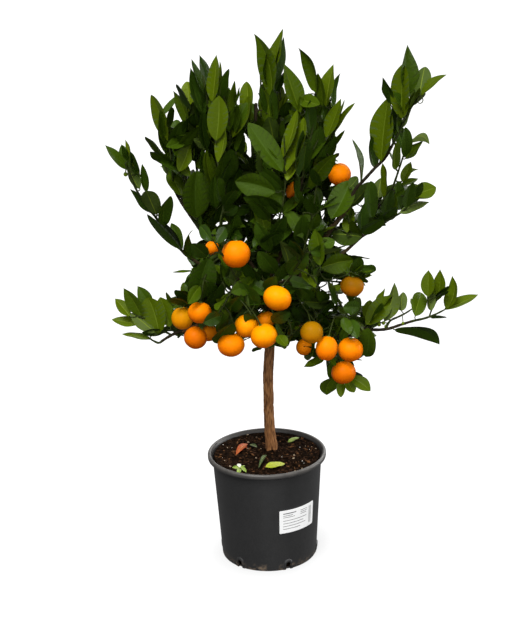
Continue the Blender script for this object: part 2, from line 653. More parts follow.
class Leaf:
    """One leaf blade: where it starts, where it points, which way its upper side faces."""

    def __init__(self, base, axis, normal, length, width, tint=2, fold=0.28, curl=0.4, twist=0.0, wave=0.5, phase=0.0, form=(0.70, 0.92)):
        self.base = np.asarray(base, float)
        self.axis = unit(axis)
        self.normal = square_to(normal, self.axis)
        self.length, self.width, self.tint = length, width, tint
        self.fold, self.curl, self.twist, self.wave, self.phase, self.form = fold, curl, twist, wave, phase, form
        self.sway, self.reach = np.zeros(3), np.zeros(3)

    def rows(self, t):
        side = np.cross(self.axis, self.normal)
        grid = np.concatenate([[0.0], t]) if t[0] > 0 else t
        mid = (grid[1:] + grid[:-1]) / 2
        phi = self.curl * mid ** 1.25
        step = np.diff(grid) * self.length
        seg = (self.axis[None, :] * np.cos(phi)[:, None] - self.normal[None, :] * np.sin(phi)[:, None]) * step[:, None]
        pts = self.base + np.concatenate([[np.zeros(3)], np.cumsum(seg, axis=0)])
        if t[0] > 0:
            pts = pts[1:]
        pts = pts + self.sway * (4 * t * (1 - t))[:, None] + self.reach * t[:, None]
        phi = (self.curl * t ** 1.25)[:, None]
        heading = self.axis * np.cos(phi) - self.normal * np.sin(phi)
        face = self.normal * np.cos(phi) + self.axis * np.sin(phi)
        tw = (self.twist * t)[:, None]
        s = side * np.cos(tw) + face * np.sin(tw)
        face = face * np.cos(tw) - side * np.sin(tw)
        return pts, s, face, heading, blade_shape(t, *self.form) * self.width / 2

    def outline(self):
        pts, s, face, heading, w = self.rows(TEST_T)
        up = face * (w * math.tan(self.fold) * 0.7)[:, None]
        a = pts + s * w[:, None] + up
        b = pts - s * w[:, None] + up
        return pts, np.concatenate([a, b[::-1][1:-1]])

    def put(self, soup, template, under=0, low=None):
        t = template.t
        pts, s, face, heading, w = self.rows(t)
        u = template.top[None, :]
        au = np.abs(u)
        wide = w[:, None]
        beat = np.where(np.arange(len(t)) % 2 == 0, 1.0, -1.0)[:, None]
        lift = math.tan(self.fold) * wide * au * (1 - 0.34 * au)
        lift = lift + self.wave * np.sin(2 * math.pi * (1.45 * t[:, None] + self.phase + 0.28 * np.sign(u))) * au ** 2 * np.clip(wide / 8, 0.2, 1.2)
        quilt = (0.017 * self.width if template is FINE else 0.011 * self.width) * beat * 4 * au * (1 - au) * (wide / max(self.width / 2, 1e-6))
        dip = np.where(au < 0.08, -0.018 * self.width, 0.0)
        lead = 0.30 * au * wide
        P = pts[:, None, :] + s[:, None, :] * (u * wide)[:, :, None] + heading[:, None, :] * lead[:, :, None] + face[:, None, :] * (lift + quilt + dip)[:, :, None]
        v = template.low[None, :]
        av = np.abs(v)
        lift_v = math.tan(self.fold) * wide * av * (1 - 0.34 * av) + self.wave * np.sin(2 * math.pi * (1.45 * t[:, None] + self.phase + 0.28 * np.sign(v))) * av ** 2 * np.clip(wide / 8, 0.2, 1.2)
        thick = np.where(av < 0.08, 0.42 + 0.024 * self.width, 0.30) * np.clip(wide / (0.3 * self.width / 2 + 1e-6), 0.25, 1)
        Q = pts[:, None, :] + s[:, None, :] * (v * wide)[:, :, None] + heading[:, None, :] * (0.30 * av * wide)[:, :, None] + face[:, None, :] * (lift_v - thick)[:, :, None]
        ring = np.concatenate([P, Q], axis=1).reshape(-1, 3)
        end, _, _, _, _ = self.rows(np.array([0.5, 1.0]))
        verts = np.concatenate([[self.base], ring, [end[-1]]])
        mats = np.array([self.tint, 7 + UNDER_OF[self.tint], 10 + RIB_OF[self.tint], 10 + min(2, RIB_OF[self.tint] + 1)])[template.kinds]
        soup.add(verts, template.faces, mats)


GROUPS = {
    "leaves_left": ["spray_left_arch", "spray_left_outer", "spray_lower_left", "inner_left"],
    "leaves_right": ["spray_right_arch", "spray_right_outer", "spray_right_side", "spray_lower_right", "spray_hanging_right", "inner_right"],
    "leaves_centre": ["spray_left_upright", "spray_centre", "spray_centre_front", "spray_right_upright"],
    "leaves_front": ["inner_front_left", "inner_front", "inner_front_right", "spray_front_left", "spray_front_right",
                     "spray_upper_front_left", "spray_upper_front_right"],
    "leaves_back": ["inner_back_left", "inner_back_right", "spray_back_left", "spray_back_centre", "spray_back_right",
                    "spray_back_arch", "spray_low_back"],
}
leaves = {g: Soup() for g in GROUPS}
twigs = Soup()
COUNT = {"named": 0, "filling": 0}
fruit_balls = []  # centre, radius


def note(leaf, named):
    pts, edge = leaf.outline()
    px, py = seen(edge)
    r, c = fill(px, py)
    cover[r, c] += 1
    if named:
        depth = pts[:, 1].mean()
        front[r, c] = np.minimum(front[r, c], depth)


LOW, TOP = np.array([-205.0, -186.0, 250.0]), np.array([285.0, 212.0, 722.0])


def may_stand(leaf):
    """Whether a filling leaf keeps to the crown, off the sky, behind the named leaves and out of the fruit."""
    pts, edge = leaf.outline()
    if (edge.min(0) < LOW).any() or (edge.max(0) > TOP).any():
        return False
    px, py = seen(edge)
    r, c = fill(px, py)
    if not len(r):
        return False
    if (~allowed_wide[r, c]).mean() > 0.02:
        return False
    hides = (pts[:, 1].mean() < front[r, c] - 2) & (front[r, c] < 1e8)
    if hides.mean() > 0.03:
        return False
    for centre, radius in fruit_balls:
        if np.linalg.norm(pts - centre, axis=1).min() < radius + 2.0 or np.linalg.norm(edge - centre, axis=1).min() < radius + 1.0:
            return False
    return True


def petiole(start, leaf, thick=0.75):
    """The stalk from the shoot to the blade."""
    a, b = np.asarray(start, float), leaf.base + leaf.axis * 0.8
    d = np.linalg.norm(b - a)
    if d < 0.4:
        return
    c1 = a + (b - a) * 0.35 + leaf.normal * 0.0 + np.array([0, 0, -0.05 * d])
    c2 = b - leaf.axis * d * 0.4
    s = np.linspace(0, 1, 5)[:, None]
    path = (1 - s) ** 3 * a + 3 * (1 - s) ** 2 * s * c1 + 3 * (1 - s) * s * s * c2 + s ** 3 * b
    tube(twigs, path, np.linspace(thick * 0.85, thick, 5), 5, 1)


# --------------------------------------------------------------------- shoots
# name: start (a bough, or a shoot and the picture point where it leaves it), then
# picture x, y and depth. Radii run from the start down to a millimetre.

SHOOTS = [
    ("LA", "bough_left_arch", [(186, 255, -33), (171, 238, -42), (157, 219, -49), (146, 205, -53), (137, 191, -57), (130, 176, -60), (125, 163, -62)]),
    ("LB", "bough_left", [(206, 239, 5), (198, 227, 12), (189, 214, 20), (181, 202, 26), (172, 185, 34), (166, 170, 40), (162, 152, 42)]),
    ("LB2", ("LB", 174, 187), [(172, 168, 30), (169, 145, 34), (166, 125, 36), (161, 108, 36)]),
    ("LB3", ("LB", 189, 214), [(187, 190, 16), (184, 150, 8), (187, 115, 6), (187, 98, 8)]),
    ("LC", "bough_left_upright", [(226, 205, -14), (218, 165, -20), (212, 130, -24), (207, 100, -26), (203, 76, -28)]),
    ("LC2", ("LC", 226, 203), [(226, 165, -2), (220, 130, 3), (214, 103, 6), (213, 80, 8)]),
    ("LC3", ("LC", 222, 180), [(229, 150, -28), (229, 120, -34), (224, 96, -36)]),
    ("LC4", ("LC2", 226, 165), [(236, 150, -16), (245, 128, -20), (249, 112, -20)]),
    ("CE", "bough_centre", [(272, 200, 0), (275, 160, -2), (275, 120, -4), (271, 92, -5), (270, 72, -5)]),
    ("C2", ("CE", 275, 160), [(280, 125, 7), (281, 100, 10), (277, 76, 10)]),
    ("CF", "bough_front", [(268, 246, -58), (280, 216, -58), (285, 186, -60), (285, 160, -60), (284, 136, -60)]),
    ("RC", "bough_right_upright", [(298, 200, -4), (306, 160, -6), (313, 125, -8), (318, 98, -8)]),
    ("RC2", ("RC", 305, 162), [(318, 140, 4), (327, 118, 8), (331, 98, 10)]),
    ("RC3", ("RC", 299, 196), [(316, 166, 16), (329, 146, 22), (335, 128, 26)]),
    ("RA", "bough_right", [(355, 190, -24), (364, 180, -28), (375, 168, -32), (385, 158, -35), (394, 142, -38), (403, 124, -42), (411, 108, -46), (419, 96, -50)]),
    ("RB", "bough_right_outer", [(384, 199, 20), (392, 188, 25), (396, 178, 29), (399, 169, 33), (402, 160, 36), (405, 150, 40)]),
    ("RD", "bough_right_side", [(378, 227, -38), (390, 219, -43), (400, 213, -47), (407, 207, -51), (411, 202, -52)]),
    ("RL", "bough_lower_right", [(370, 329.5, -35), (387, 329, -40), (400, 325, -44), (413, 321, -49), (424, 318.5, -53), (434, 315, -55), (446, 309, -57)]),
    ("RL2", ("RL", 386, 329), [(390, 321, -40), (398, 317, -41), (405, 313.5, -43), (412, 309, -45)]),
    ("RL3", ("RL", 370, 329), [(374, 322, -30), (378, 312, -28)]),
    ("RL4", ("RL", 429, 316), [(432, 309, -52), (436, 302, -50)]),
    ("LL", "bough_lower_left", [(176, 333, -38), (169, 336.5, -41), (162, 341, -44), (159, 343, -45), (150, 339, -46)]),
    ("LL2", ("LL", 171, 336), [(164, 331, -39), (155, 325, -40), (146, 319, -42), (138, 316, -44)]),
    ("LCs", ("LC4", 245, 128), [(251, 127, -18), (255, 119, -17), (256, 110, -16)]),
    ("HG", "bough_hanging", [(338, 354, -54), (341, 368, -52), (343, 379, -54)]),
    ("HG2", ("HG", 338, 355), [(348, 354, -52), (358, 352, -50), (364, 352, -50)]),
    ("FL", "bough_front_left", [(228, 264, -98), (219, 249, -110), (212, 238, -120)]),
    ("FR", "bough_front_right", [(296, 268, -100), (303, 256, -112), (307, 247, -122)]),
    ("FL2", ("FL", 226, 260), [(231, 247, -92), (236, 237, -88)]),
    ("FR2", ("FR", 296, 268), [(305, 272, -104), (314, 279, -100), (318, 289, -98)]),
    ("UFL", "bough_upper_front_left", [(220, 226, -60), (224, 202, -58), (223, 178, -54)]),
    ("UFR", "bough_upper_front_right", [(310, 225, -60), (315, 197, -64), (318, 174, -68)]),
    ("IF1", "bough_front_left", [(231, 292, -92), (222, 308, -100), (214, 322, -104)]),
    ("IF2", "bough_front_right", [(294, 290, -72), (301, 303, -58), (312, 318, -56), (322, 330, -58)]),
    ("IF3", "bough_front", [(266, 286, -82), (270, 302, -96), (274, 318, -102)]),
    ("IF4", ("IF1", 231, 292), [(244, 304, -100), (252, 316, -102)]),
    ("IF5", ("IF3", 270, 302), [(288, 320, -98), (292, 334, -98)]),
    ("IR1", "bough_upper_front_right", [(316, 266, -62), (325, 279, -64), (340, 277, -64), (354, 272, -62)]),
    ("IR2", ("IR1", 332, 279), [(334, 290, -66), (342, 306, -66), (350, 320, -66), (352, 332, -72)]),
    ("IL1", "bough_upper_front_left", [(212, 264, -60), (204, 280, -64), (202, 296, -66)]),
    ("IL2", ("IL1", 206, 276), [(193, 288, -56), (187, 296, -54), (180, 302, -52)]),
    ("IF6", ("IF1", 224, 305), [(230, 314, -98), (233, 323, -98)]),
    ("IF7", ("IF3", 266, 286), [(257, 308, -52), (252, 328, -46), (254, 341, -48)]),
]

STEM = {}


def grow(name, start, direction, radius, points, group="", tip=0.9, step=3.0, taper=0.55, wobble=0.0):
    ctrl = [np.asarray(start, float)] + [np.asarray(p, float) for p in points]
    curve = Curve(ctrl)
    path = curve.sample(step)
    t = np.linspace(0, 1, len(path))
    if wobble:
        d, u, w = frames(path)
        ph = (sum(map(ord, name)) % 17) * 0.37
        path = path + (u * np.sin(t * 9.0 + ph)[:, None] + w * np.cos(t * 7.0 + 2 * ph)[:, None]) * (wobble * np.sin(np.pi * t) ** 0.7)[:, None]
    r = tip + (radius - tip) * (1 - t) ** taper
    # the shoot overlaps what it grows from, so that no gap shows
    lead = path[0] - unit(direction) * min(3.0, radius * 1.2)
    full = np.concatenate([[lead], path])
    rr = np.concatenate([[radius], r])
    mat = np.where(rr[:-1] > 1.75, 0, 1)
    sides = 9 if radius > 1.6 else 6
    n = len(full)
    nodes = 0.07 * rr * np.sin(np.arange(n) * 2 * math.pi / 3.3)  # faint swelling at the leaf nodes
    tube(twigs, full, rr + nodes, sides, np.concatenate([np.repeat(mat, sides), np.full(2 * sides, mat[-1])]))
    skeleton.add(path[1:], r[1:], name)
    STEM[name] = (path, r, headings(path), group)
    return path


def start_of(spec):
    if isinstance(spec, str):
        return BOUGH_TIP[spec]
    parent, px, py = spec
    path, r, d, _ = STEM[parent]
    x, y = seen(path)
    k = int(np.argmin((x - px) ** 2 + (y - py) ** 2))
    return path[k], d[k], r[k] * 0.8


def bough_at(name, share):
    c = LIMBS[name]
    p = c.point(share)
    radius = next(b[4] for b in BOUGHS if b[0] == name)
    return p, unit(c.point(min(1, share + 0.02)) - c.point(share - 0.02)), radius * (1 - 0.38 * share)


SHOOT_GROUP = {"L": "leaves_left", "C": "leaves_centre", "R": "leaves_right", "H": "leaves_right", "F": "leaves_front", "U": "leaves_front", "I": "leaves_front"}
for name, spec, pts in SHOOTS:
    p, d, r = start_of(spec)
    group = SHOOT_GROUP[name[0]]
    if name.startswith(("LC", "RC")):
        group = "leaves_centre"
    grow(name, p, d, min(r, 1.4 if name[:2] in ("CF", "FL", "FR", "IF", "IR", "IL") or name[:2] == "UF" else 2.3), [at(*q) for q in pts], group)
for name, (path, radii) in BOUGH_PATH.items():
    side = "leaves_left" if "left" in name else "leaves_right" if "right" in name or "hanging" in name else "leaves_centre"
    STEM[name] = (path, radii, headings(path), "leaves_front" if "front" in name else side)

# the stub of a shoot that was cut back, with a bit left beside it
cut = [at(255.6, 121, -17), at(255.8, 112, -16.5), at(255.9, 104.5, -16), at(256, 103.4, -16)]
tube(twigs, np.array(cut), np.array([1.9, 2.3, 2.2, 1.9]), 9, np.concatenate([np.zeros(27, int), np.full(18, 1)]))
tube(twigs, np.array([at(256, 112, -16.5), at(259, 110, -17), at(262, 110.5, -18)]), np.array([1.5, 1.1, 0.7]), 7, 0)
# a tendril-like curl at the end of the right arch
loop = [at(415.5, 101, -48)] + [at(420 + 3.0 * math.cos(q), 100 + 3.4 * math.sin(q), -49 - 0.8 * q) for q in np.linspace(2.7, 2.7 + 6.6, 15)]
tube(twigs, np.array(loop), np.linspace(0.85, 0.55, len(loop)), 6, 1)

# ---------------------------------------------------------------------- fruit
# picture x, y, radius across, radius up, depth, tint
FRUITS = [
    (236, 254, 14.3, 14.1, -96, 1), (277.3, 298.2, 14.3, 12.5, -108, 0), (199.8, 312.6, 12.0, 10.9, -72, 1), (182.4, 318.2, 11.0, 11.5, -55, 3),
    (195.5, 337.6, 11.7, 11.4, -62, 2), (231, 344.8, 13.6, 12.0, -88, 1), (264, 335.9, 13.6, 12.2, -98, 0), (246, 326, 11.5, 11.5, -84, 0),
    (266, 320, 9.5, 9.0, -62, 4), (209, 333, 8.5, 8.5, -32, 4), (212, 248, 7, 7.5, -22, 1), (311.7, 332.3, 11.4, 11.0, -86, 5), (326.7, 348.3, 11.0, 12.6, -84, 1),
    (350.4, 349.5, 12.6, 12.2, -74, 1), (343.5, 372.5, 12.4, 11.6, -70, 2), (352, 286, 12.0, 10.4, -62, 6), (339.5, 174.5, 11.5, 11.5, 10, 1),
    (292, 190, 5.5, 9.0, -14, 4), (304, 347, 8, 8.5, -58, 4),
    # green fruit just set
    (379, 324.5, 2.0, 2.1, -38, 7), (383.5, 323, 1.9, 2.0, -40, 7), (386, 326.5, 1.8, 1.9, -38, 7), (403, 323.3, 1.5, 1.7, -46, 7), (125.6, 174.3, 2.2, 2.3, -58, 7),
]
# fruit at the back: picture x, y, depth, radius in millimetres, tint
BACK_FRUITS = [(236, 254, 100, 14.5, 0), (277, 298, 112, 14.5, 1), (200, 313, 68, 13.0, 0), (339, 175, 96, 13.5, 2), (352, 286, 82, 12.5, 1), (312, 332, 62, 13.0, 0),
               (292, 190, 112, 10.0, 2), (197, 196, 62, 13.5, 0), (255, 186, 122, 12.5, 1), (264, 147, 92, 10.5, 3), (340, 200, 62, 12.5, 0), (204, 281, 66, 12.5, 1)]


def place_fruit():
    out = []
    for px, py, rx, ry, y, tint in FRUITS:
        p = at(px, py, y)
        k = mm_per_point(p)
        out.append((p, rx * k, ry * k, tint, (px, py)))
    for px, py, y, r, tint in BACK_FRUITS:
        out.append((at(px, py, y), r, r * 0.92, tint, None))
    return out


fruits = place_fruit()
for p, rx, ry, tint, spot in fruits:
    fruit_balls.append((p, (rx + ry) / 2))
    if spot:
        r, c = np.nonzero(((GX - spot[0]) / (rx / mm_per_point(p))) ** 2 + ((GY - spot[1]) / (ry / mm_per_point(p))) ** 2 < 1)
        front[r, c] = np.minimum(front[r, c], p[1])
        cover[r, c] += 1

# --------------------------------------------------------------- named leaves
# tip x, y, base x, y, width (0: usual), tint letter, and marks:
#   u under side shows, T tip comes forward, A tip goes back, f in front, b behind,
#   c strongly curved, s flat and straight, e seen edge on
TO_LIGHT = unit([-0.30, -0.80, 1.05])
TINT = {"k": 0, "d": 1, "g": 2, "m": 3, "o": 4, "b": 5, "y": 6}
NAMED = {
    "LA": [
        (105, 145, 128.5, 170, 10.5, "g", "ps", 0.6), (121.5, 144, 129, 161, 6, "k", "p", -0.5), (125, 139, 134, 167, 4.5, "y", "fp", -0.3), (130, 152, 140, 175, 7.5, "k", "b", -1),
        (129.5, 161, 140, 189, 11.5, "o", "fu", -1), (142, 163.5, 147, 193, 8, "d", "p"), (130, 189, 158, 215, 9.5, "k", "p", -0.7), (146.5, 191, 157, 215, 17, "m", "fur", 0.6),
        (170, 196, 165, 226, 13.5, "d", "r", -1.6), (147, 214, 181, 250, 9, "d", "f", -1), (159, 217, 181, 250, 10, "d", "", -0.5), (171, 223, 182, 251, 12, "g", "b", 0.5),
        (193, 230, 196, 259, 7.5, "d", "", -7.5),
    ],
    "LL": [
        (115, 298.5, 130, 316.5, 12, "b", "p", 0.9), (123.5, 288, 141, 316, 14, "m", "p"), (137.5, 286, 151, 310, 14, "g", "pb", 0.6), (111.5, 319.5, 139, 324.5, 10.5, "b", "p", 1.0),
        (121.5, 334, 151, 339.5, 6.5, "b", "p", 1.5), (148, 297.5, 159, 334, 24, "o", "frs"), (160, 297, 170, 327, 18, "o", "fs"), (130, 313, 155, 333, 13, "b", "uf"),
        (142, 332, 164, 333, 8, "k", "b"),
    ],
    "LB": [
        (150, 151.5, 171, 166, 11, "g", "f", 0.6), (169, 171, 182, 196, 15, "m", "fr", 0.6), (190.5, 138, 179, 172, 16, "o", "fs", 1, -6), (145, 136.5, 161, 156, 6.5, "m", "b", 0.6),
        (166, 147, 186, 139, 12, "g", "f", 0, 2), (196.5, 170.5, 197, 218, 28, "g", "r", 0, -14), (207, 237, 213, 204, 13.5, "m", "f"), (193, 140, 196, 160, 8, "k", ""),
        (151, 94.5, 168, 141, 13.5, "o", "", -0.2), (176, 95.5, 163, 115, 7, "g", "p"), (171, 107, 170, 127, 8, "g", "f"), (173, 90.5, 188, 126, 10.5, "m", "p", 1),
        (176.5, 84, 190, 110, 6, "k", "f", 0, -8), (186.5, 81.5, 189, 112, 14, "y", "r"), (200, 126, 178, 149, 11, "g", "f", 1, -4), (184, 120, 172, 146, 14, "d", "f", 0, 0), (196, 112, 186, 134, 13, "k", "f", 0, -2), (160, 110, 170, 150, 12, "g", "b"),
        (158, 128, 172, 160, 9, "g", "b"), (205, 196, 208, 222, 11, "d", "b"),
    ],
    "LC": [
        (191.5, 58.5, 206, 96, 7.5, "d", "ps", 0.8), (199.5, 54.5, 210, 92, 10.5, "k", "ps", 1.2), (190.5, 67.5, 205, 116, 13.5, "k", "pfs", -0.5), (216.5, 54.5, 212, 102, 12.5, "b", "ps", -1.2, -40),
        (219.8, 61, 218.5, 99, 4.5, "y", "", 0, -36), (229, 68.5, 221.5, 104, 10, "d", "f", -2, -30), (235, 80, 230, 112, 8, "m", "p", 0, -42), (227, 86, 229, 132, 14, "g", "f", 0, -36),
        (219, 95.5, 216, 141, 21, "o", "s", 0, -62), (223.5, 122, 218, 163, 10.5, "b", "", 0, -71), (246.5, 81.5, 247, 126, 14, "b", "r", -0.8), (248, 96, 232.5, 138, 12, "o", "f", 1.5),
        (239.5, 87, 236, 104, 2.5, "g", "e"), (203, 112, 208, 150, 14, "k", ""), (238, 104, 231, 142, 9, "g", "b"), (243, 118, 236, 152, 8, "g", "", 0, -36), (226, 152, 222, 188, 15, "g", ""),
        (206, 150, 214, 188, 14, "m", "f"), (243, 132, 233, 168, 13, "k", ""), (196, 96, 205, 132, 11, "d", "b"), (206, 84, 209, 120, 11, "k", "b"),
        (233, 150, 228, 182, 12, "d", "b"), (214, 176, 216, 208, 14, "d", ""), (240, 168, 230, 200, 13, "k", "b"), (231, 149, 229, 179, 17, "d", "fr"),
        (201, 150, 209, 178, 11, "d", ""), (212, 132, 214, 162, 9, "k", ""), (221, 130, 218, 158, 9, "d", ""),
    ],
    "CE": [
        (254, 33.5, 271, 97, 17.5, "m", "fpA", 4.2), (283, 28.5, 271, 78, 11, "o", "p", -2.2), (284, 36.5, 275, 84, 9.5, "k", "fp", 1.2), (284.5, 71.5, 276, 92, 7, "k", "p"),
        (281.5, 86, 278, 114, 7.5, "b", "f"), (288, 91, 280, 110, 7, "o", "fp"), (287, 102, 284, 117, 11, "k", "r"), (260, 85, 266, 113, 7, "d", "p"),
        (264, 90, 270, 128, 12, "m", "f"), (272, 89, 276, 121, 9, "d", ""), (268, 117, 274, 148, 17, "g", "u"), (256, 112, 268, 148, 10, "m", "b"),
        (277, 96, 280, 124, 8, "o", "b"), (267, 52, 270, 90, 10, "d", "b"), (283, 120, 281, 150, 9, "g", "b"),
    ],
    "CF": [
        (248, 122.5, 283, 172, 22.5, "g", "fs", 1), (297, 110, 281.5, 160, 10.5, "b", ""), (296, 151.5, 287, 181, 11.5, "y", "f"), (235, 181.5, 276, 192, 24, "g", "fsA", 0.5),
        (304, 117, 286, 172, 13.5, "b", "f", 1), (303, 130, 298, 178, 8, "k", ""), (258, 168, 284, 190, 14, "d", "b"), (257, 153, 262, 172, 9, "g", "u"),
        (243, 197, 284, 211, 15, "d", ""), (299, 200, 296, 176, 8, "k", ""),
        (284, 232, 262, 246, 14, "k", ""), (256, 222, 270, 252, 15, "d", ""), (286, 216, 272, 240, 13, "k", ""), (262, 196, 274, 214, 12, "d", "b"),
        (268, 258, 262, 282, 14, "d", ""), (250, 200, 268, 220, 12, "d", "b"), (297, 196, 283, 214, 11, "g", "b"),
    ],
    "RC": [
        (284, 63.5, 300.5, 113, 18, "m", "fpA", 1.7), (320, 104.5, 299, 98, 14, "m", "b"), (298, 47.5, 316, 93, 12.5, "m", "fp", 2.3), (333.5, 64, 326, 107, 13.5, "b", "fp", -3.2),
        (318, 73, 322, 106, 9.5, "m", "f"), (341, 72.5, 333.5, 107, 6, "d", "p", -3), (341, 98.5, 326, 138, 13, "o", "p", -1, -20), (344.5, 99, 335, 124, 2.5, "b", "e"),
        (355.5, 102.5, 334, 134, 6, "o", "p", -3), (345, 129.5, 329, 151, 5.5, "m", "p"), (320, 126, 315, 160, 15, "d", "f"), (298, 190, 302, 216, 10, "d", ""),
        (336, 154, 309, 188, 16, "m", "f", -1), (338.5, 153, 324, 164, 5, "d", ""), (319, 84, 318, 116, 10, "g", "b"), (324, 92, 327, 124, 11, "d", "b"), (308, 138, 304, 172, 13, "k", ""),
        (324, 148, 316, 178, 11, "d", "b"), (300, 96, 308, 134, 13, "m", "b"), (316, 194, 304, 216, 11, "d", ""), (293, 140, 300, 178, 12, "k", "b"),
        (331, 118, 324, 150, 12, "m", "b"), (310, 100, 312, 134, 12, "k", ""), (336, 136, 322, 166, 11, "d", "b"),
    ],
    "RA": [
        (407.5, 44.5, 411.5, 99, 18, "g", "psT", 0.2, -39), (403.5, 63, 402, 119, 19.5, "o", "fs", -3.2, -56), (388, 98, 381, 162, 22.5, "o", "fs", -3.5), (382.5, 77, 391, 105, 9, "k", "bps", 0.4),
        (425, 66.5, 420, 96, 17, "m", "ur", 0), (447, 74.5, 421, 96, 8, "o", "p", -4), (371, 136, 376, 168, 10, "k", "b"), (394, 101, 396, 138, 9, "k", "b"),
        (352, 139, 361, 184, 3.2, "g", "e", 5), (369.5, 182, 347, 208, 12.5, "g", "ub"), (358, 177, 349, 188, 11, "g", "ur"),
        (350, 180.5, 331, 219, 24, "g", "f"), (398, 114, 401, 132, 7, "g", "b"), (413, 92, 408, 112, 7, "m", ""),
        (424, 92, 414, 105, 6, "o", ""), (412, 102, 402, 128, 5.5, "m", "p"), (419, 88, 412, 106, 6, "m", "b"),
    ],
    "RB": [
        (405, 127, 405.5, 157, 11.5, "d", "", 1.8), (397, 141, 396, 170, 9, "m", "f"), (429.5, 144.5, 410, 142, 9, "b", "us", -6.5), (423.5, 140, 405, 159, 8.5, "m", "ps"), (411, 161.5, 402, 182, 10, "o", "ps"),
        (419.5, 170, 402.5, 181, 6, "b", "ps", -5), (418.5, 178.5, 401, 186, 6.5, "m", "ps", -1), (401, 209, 397, 181, 12, "d", "f"), (382.5, 163, 385, 198, 7, "b", ""),
        (385, 220, 395, 193, 18, "m", "f"), (370.5, 181, 372, 219, 14.5, "d", "fr"), (382, 177.5, 378, 198, 15, "b", "ubr"), (391, 190, 386, 214, 12, "d", "b"),
    ],
    "RD": [
        (364.5, 202, 362, 234, 11.5, "k", "p"), (384, 219, 362, 234, 12, "d", "f"), (332, 234, 361.5, 237, 19, "g", "ufr", -0.8), (350, 207, 347, 233, 12, "o", ""),
        (396, 207, 381, 222, 10, "d", "b"), (413, 182, 407, 208, 12, "d", "f"), (422, 182, 410, 203, 10, "d", "b"), (436, 187, 411, 196.5, 17, "o", "s", -0.8),
        (430, 202, 399, 213, 9, "b", "up", -0.8), (352, 220, 358, 238, 10, "m", "b"),
    ],
    "RL": [
        (428.5, 270, 428, 297, 14, "o", "fp", -0.6), (440, 269, 437, 301, 13, "o", "p", 0.7), (452, 275.5, 446, 309, 12, "b", "p", 3), (478.5, 294.5, 444, 310, 10, "b", "p", -1.5),
        (422, 293, 415, 316.5, 16, "m", "fr"), (431, 285, 431.5, 311, 9.5, "b", "uf"), (448.5, 286, 437, 297, 5, "k", ""), (448.5, 291, 437, 297.5, 4, "k", ""),
        (447, 318, 430, 316.5, 3.5, "d", "p"), (439.5, 344.5, 394, 329.5, 13, "d", "fA", -6.0), (403, 292, 401.5, 311, 10.5, "b", "ur"), (394.5, 282.5, 384, 322, 14, "b", "up", 4),
        (391, 296, 366, 325, 20, "o", "f"), (385, 288, 375, 306, 5.5, "b", "p"), (370, 300, 366, 319, 11, "b", ""), (354, 299, 356, 318, 14, "d", "ur"),
        (381, 303, 374, 326, 10, "d", "b"), (411, 298, 414, 307, 4, "b", "u"),
    ],
    "HG": [
        (303.5, 367, 325, 357, 8.5, "o", "ps"), (326.5, 395, 338, 376, 15.5, "m", "fs", 3), (341, 397.5, 340.5, 380, 9, "o", "fs"),
        (354.5, 392.5, 346, 378, 11, "o", "fs"), (370.5, 391, 350, 376.5, 13, "o", "fs", -1.5), (346, 369.5, 346.5, 356, 11, "k", "f"), (336, 366, 330, 358, 5, "m", "f"), (360, 378, 348, 370, 8, "d", "b"), (304, 346, 318, 356, 10, "k", "b"), (369, 328, 366, 357, 17.5, "g", "r"), 
    ],
    "FL": [
        (191, 243.5, 207, 257, 15, "k", "b"), (246, 268, 232, 262, 12, "d", "b"), (221, 251, 231, 269, 10, "o", "b"), (226, 228, 216, 243, 12, "k", "A"), (200, 226, 211, 241, 12, "k", "A"),
    ],
    "UFL": [
        (236, 190, 224, 206, 12, "k", ""), (218, 178, 223, 200, 11, "d", ""), (230, 164, 222, 186, 10, "k", "b"), (252, 209, 231, 212, 11, "k", ""),
        (230, 224, 218, 234, 12, "k", ""), (214, 226, 222, 204, 13, "k", "b"), (238, 206, 224, 214, 12, "k", "b"), (233, 240, 236, 214, 14, "d", ""),
    ],
    "UFR": [
        (302, 243.5, 303, 215, 17.5, "d", "f"), (306, 198, 314, 214, 11, "d", ""), (318, 214, 312, 230, 10, "g", ""), 
        (312, 168, 318, 186, 10, "k", ""), (324, 230, 310, 240, 10, "d", "b"),
    ],
    "FR": [
        (315, 229, 320, 266, 14, "m", "fs"), (308, 253, 288, 274, 18, "d", ""), (304, 268, 315, 288, 11, "o", "f"), (290, 240, 300, 258, 12, "k", "T"),
        (326, 250, 310, 252, 12, "d", ""),
    ],
    "IR": [
        (353, 260, 321, 268, 19, "m", "fs"), (359, 257, 356, 272, 13, "d", "r"), (376, 270.5, 361, 268, 10, "d", ""), (367, 283, 350, 272, 6, "m", "f"),
        (319, 281, 333, 273, 9, "k", ""), (330, 283, 337, 304, 6, "k", ""), (341, 286, 330, 290, 7, "b", "e"), (330, 334, 344, 316, 12, "m", ""),
        (350, 334.5, 344, 317, 11, "g", "f"), (343, 307, 360, 308, 14, "d", "r"), (327, 301, 317, 291, 11, "d", "r"), (344, 325, 336, 318, 9, "d", ""), (322, 314, 333, 302, 8, "k", ""), (364, 262, 350, 268, 9, "m", "b"),
    ],
    "IL": [
        (197, 302, 209, 256, 26, "d", "f"), (166, 292, 172, 305, 4, "m", "e"), (169.5, 298.5, 187, 305, 7, "k", ""), (175, 290, 191, 300, 10, "k", "r"), (172, 272, 193, 270.5, 2.8, "m", "e"), (188, 304, 200, 286, 13, "m", ""), (216, 300, 208, 282, 14, "d", ""),
        (226, 284, 212, 272, 12, "g", ""), (184, 283, 198, 280, 10, "k", "b"),
    ],
    "IF": [
        (203, 323, 221, 316, 14, "k", "f"), (221, 331, 223, 313, 11, "d", "f"), (217, 343.5, 234, 323, 15, "d", "f"), (254, 322, 244, 314, 11, "d", ""),
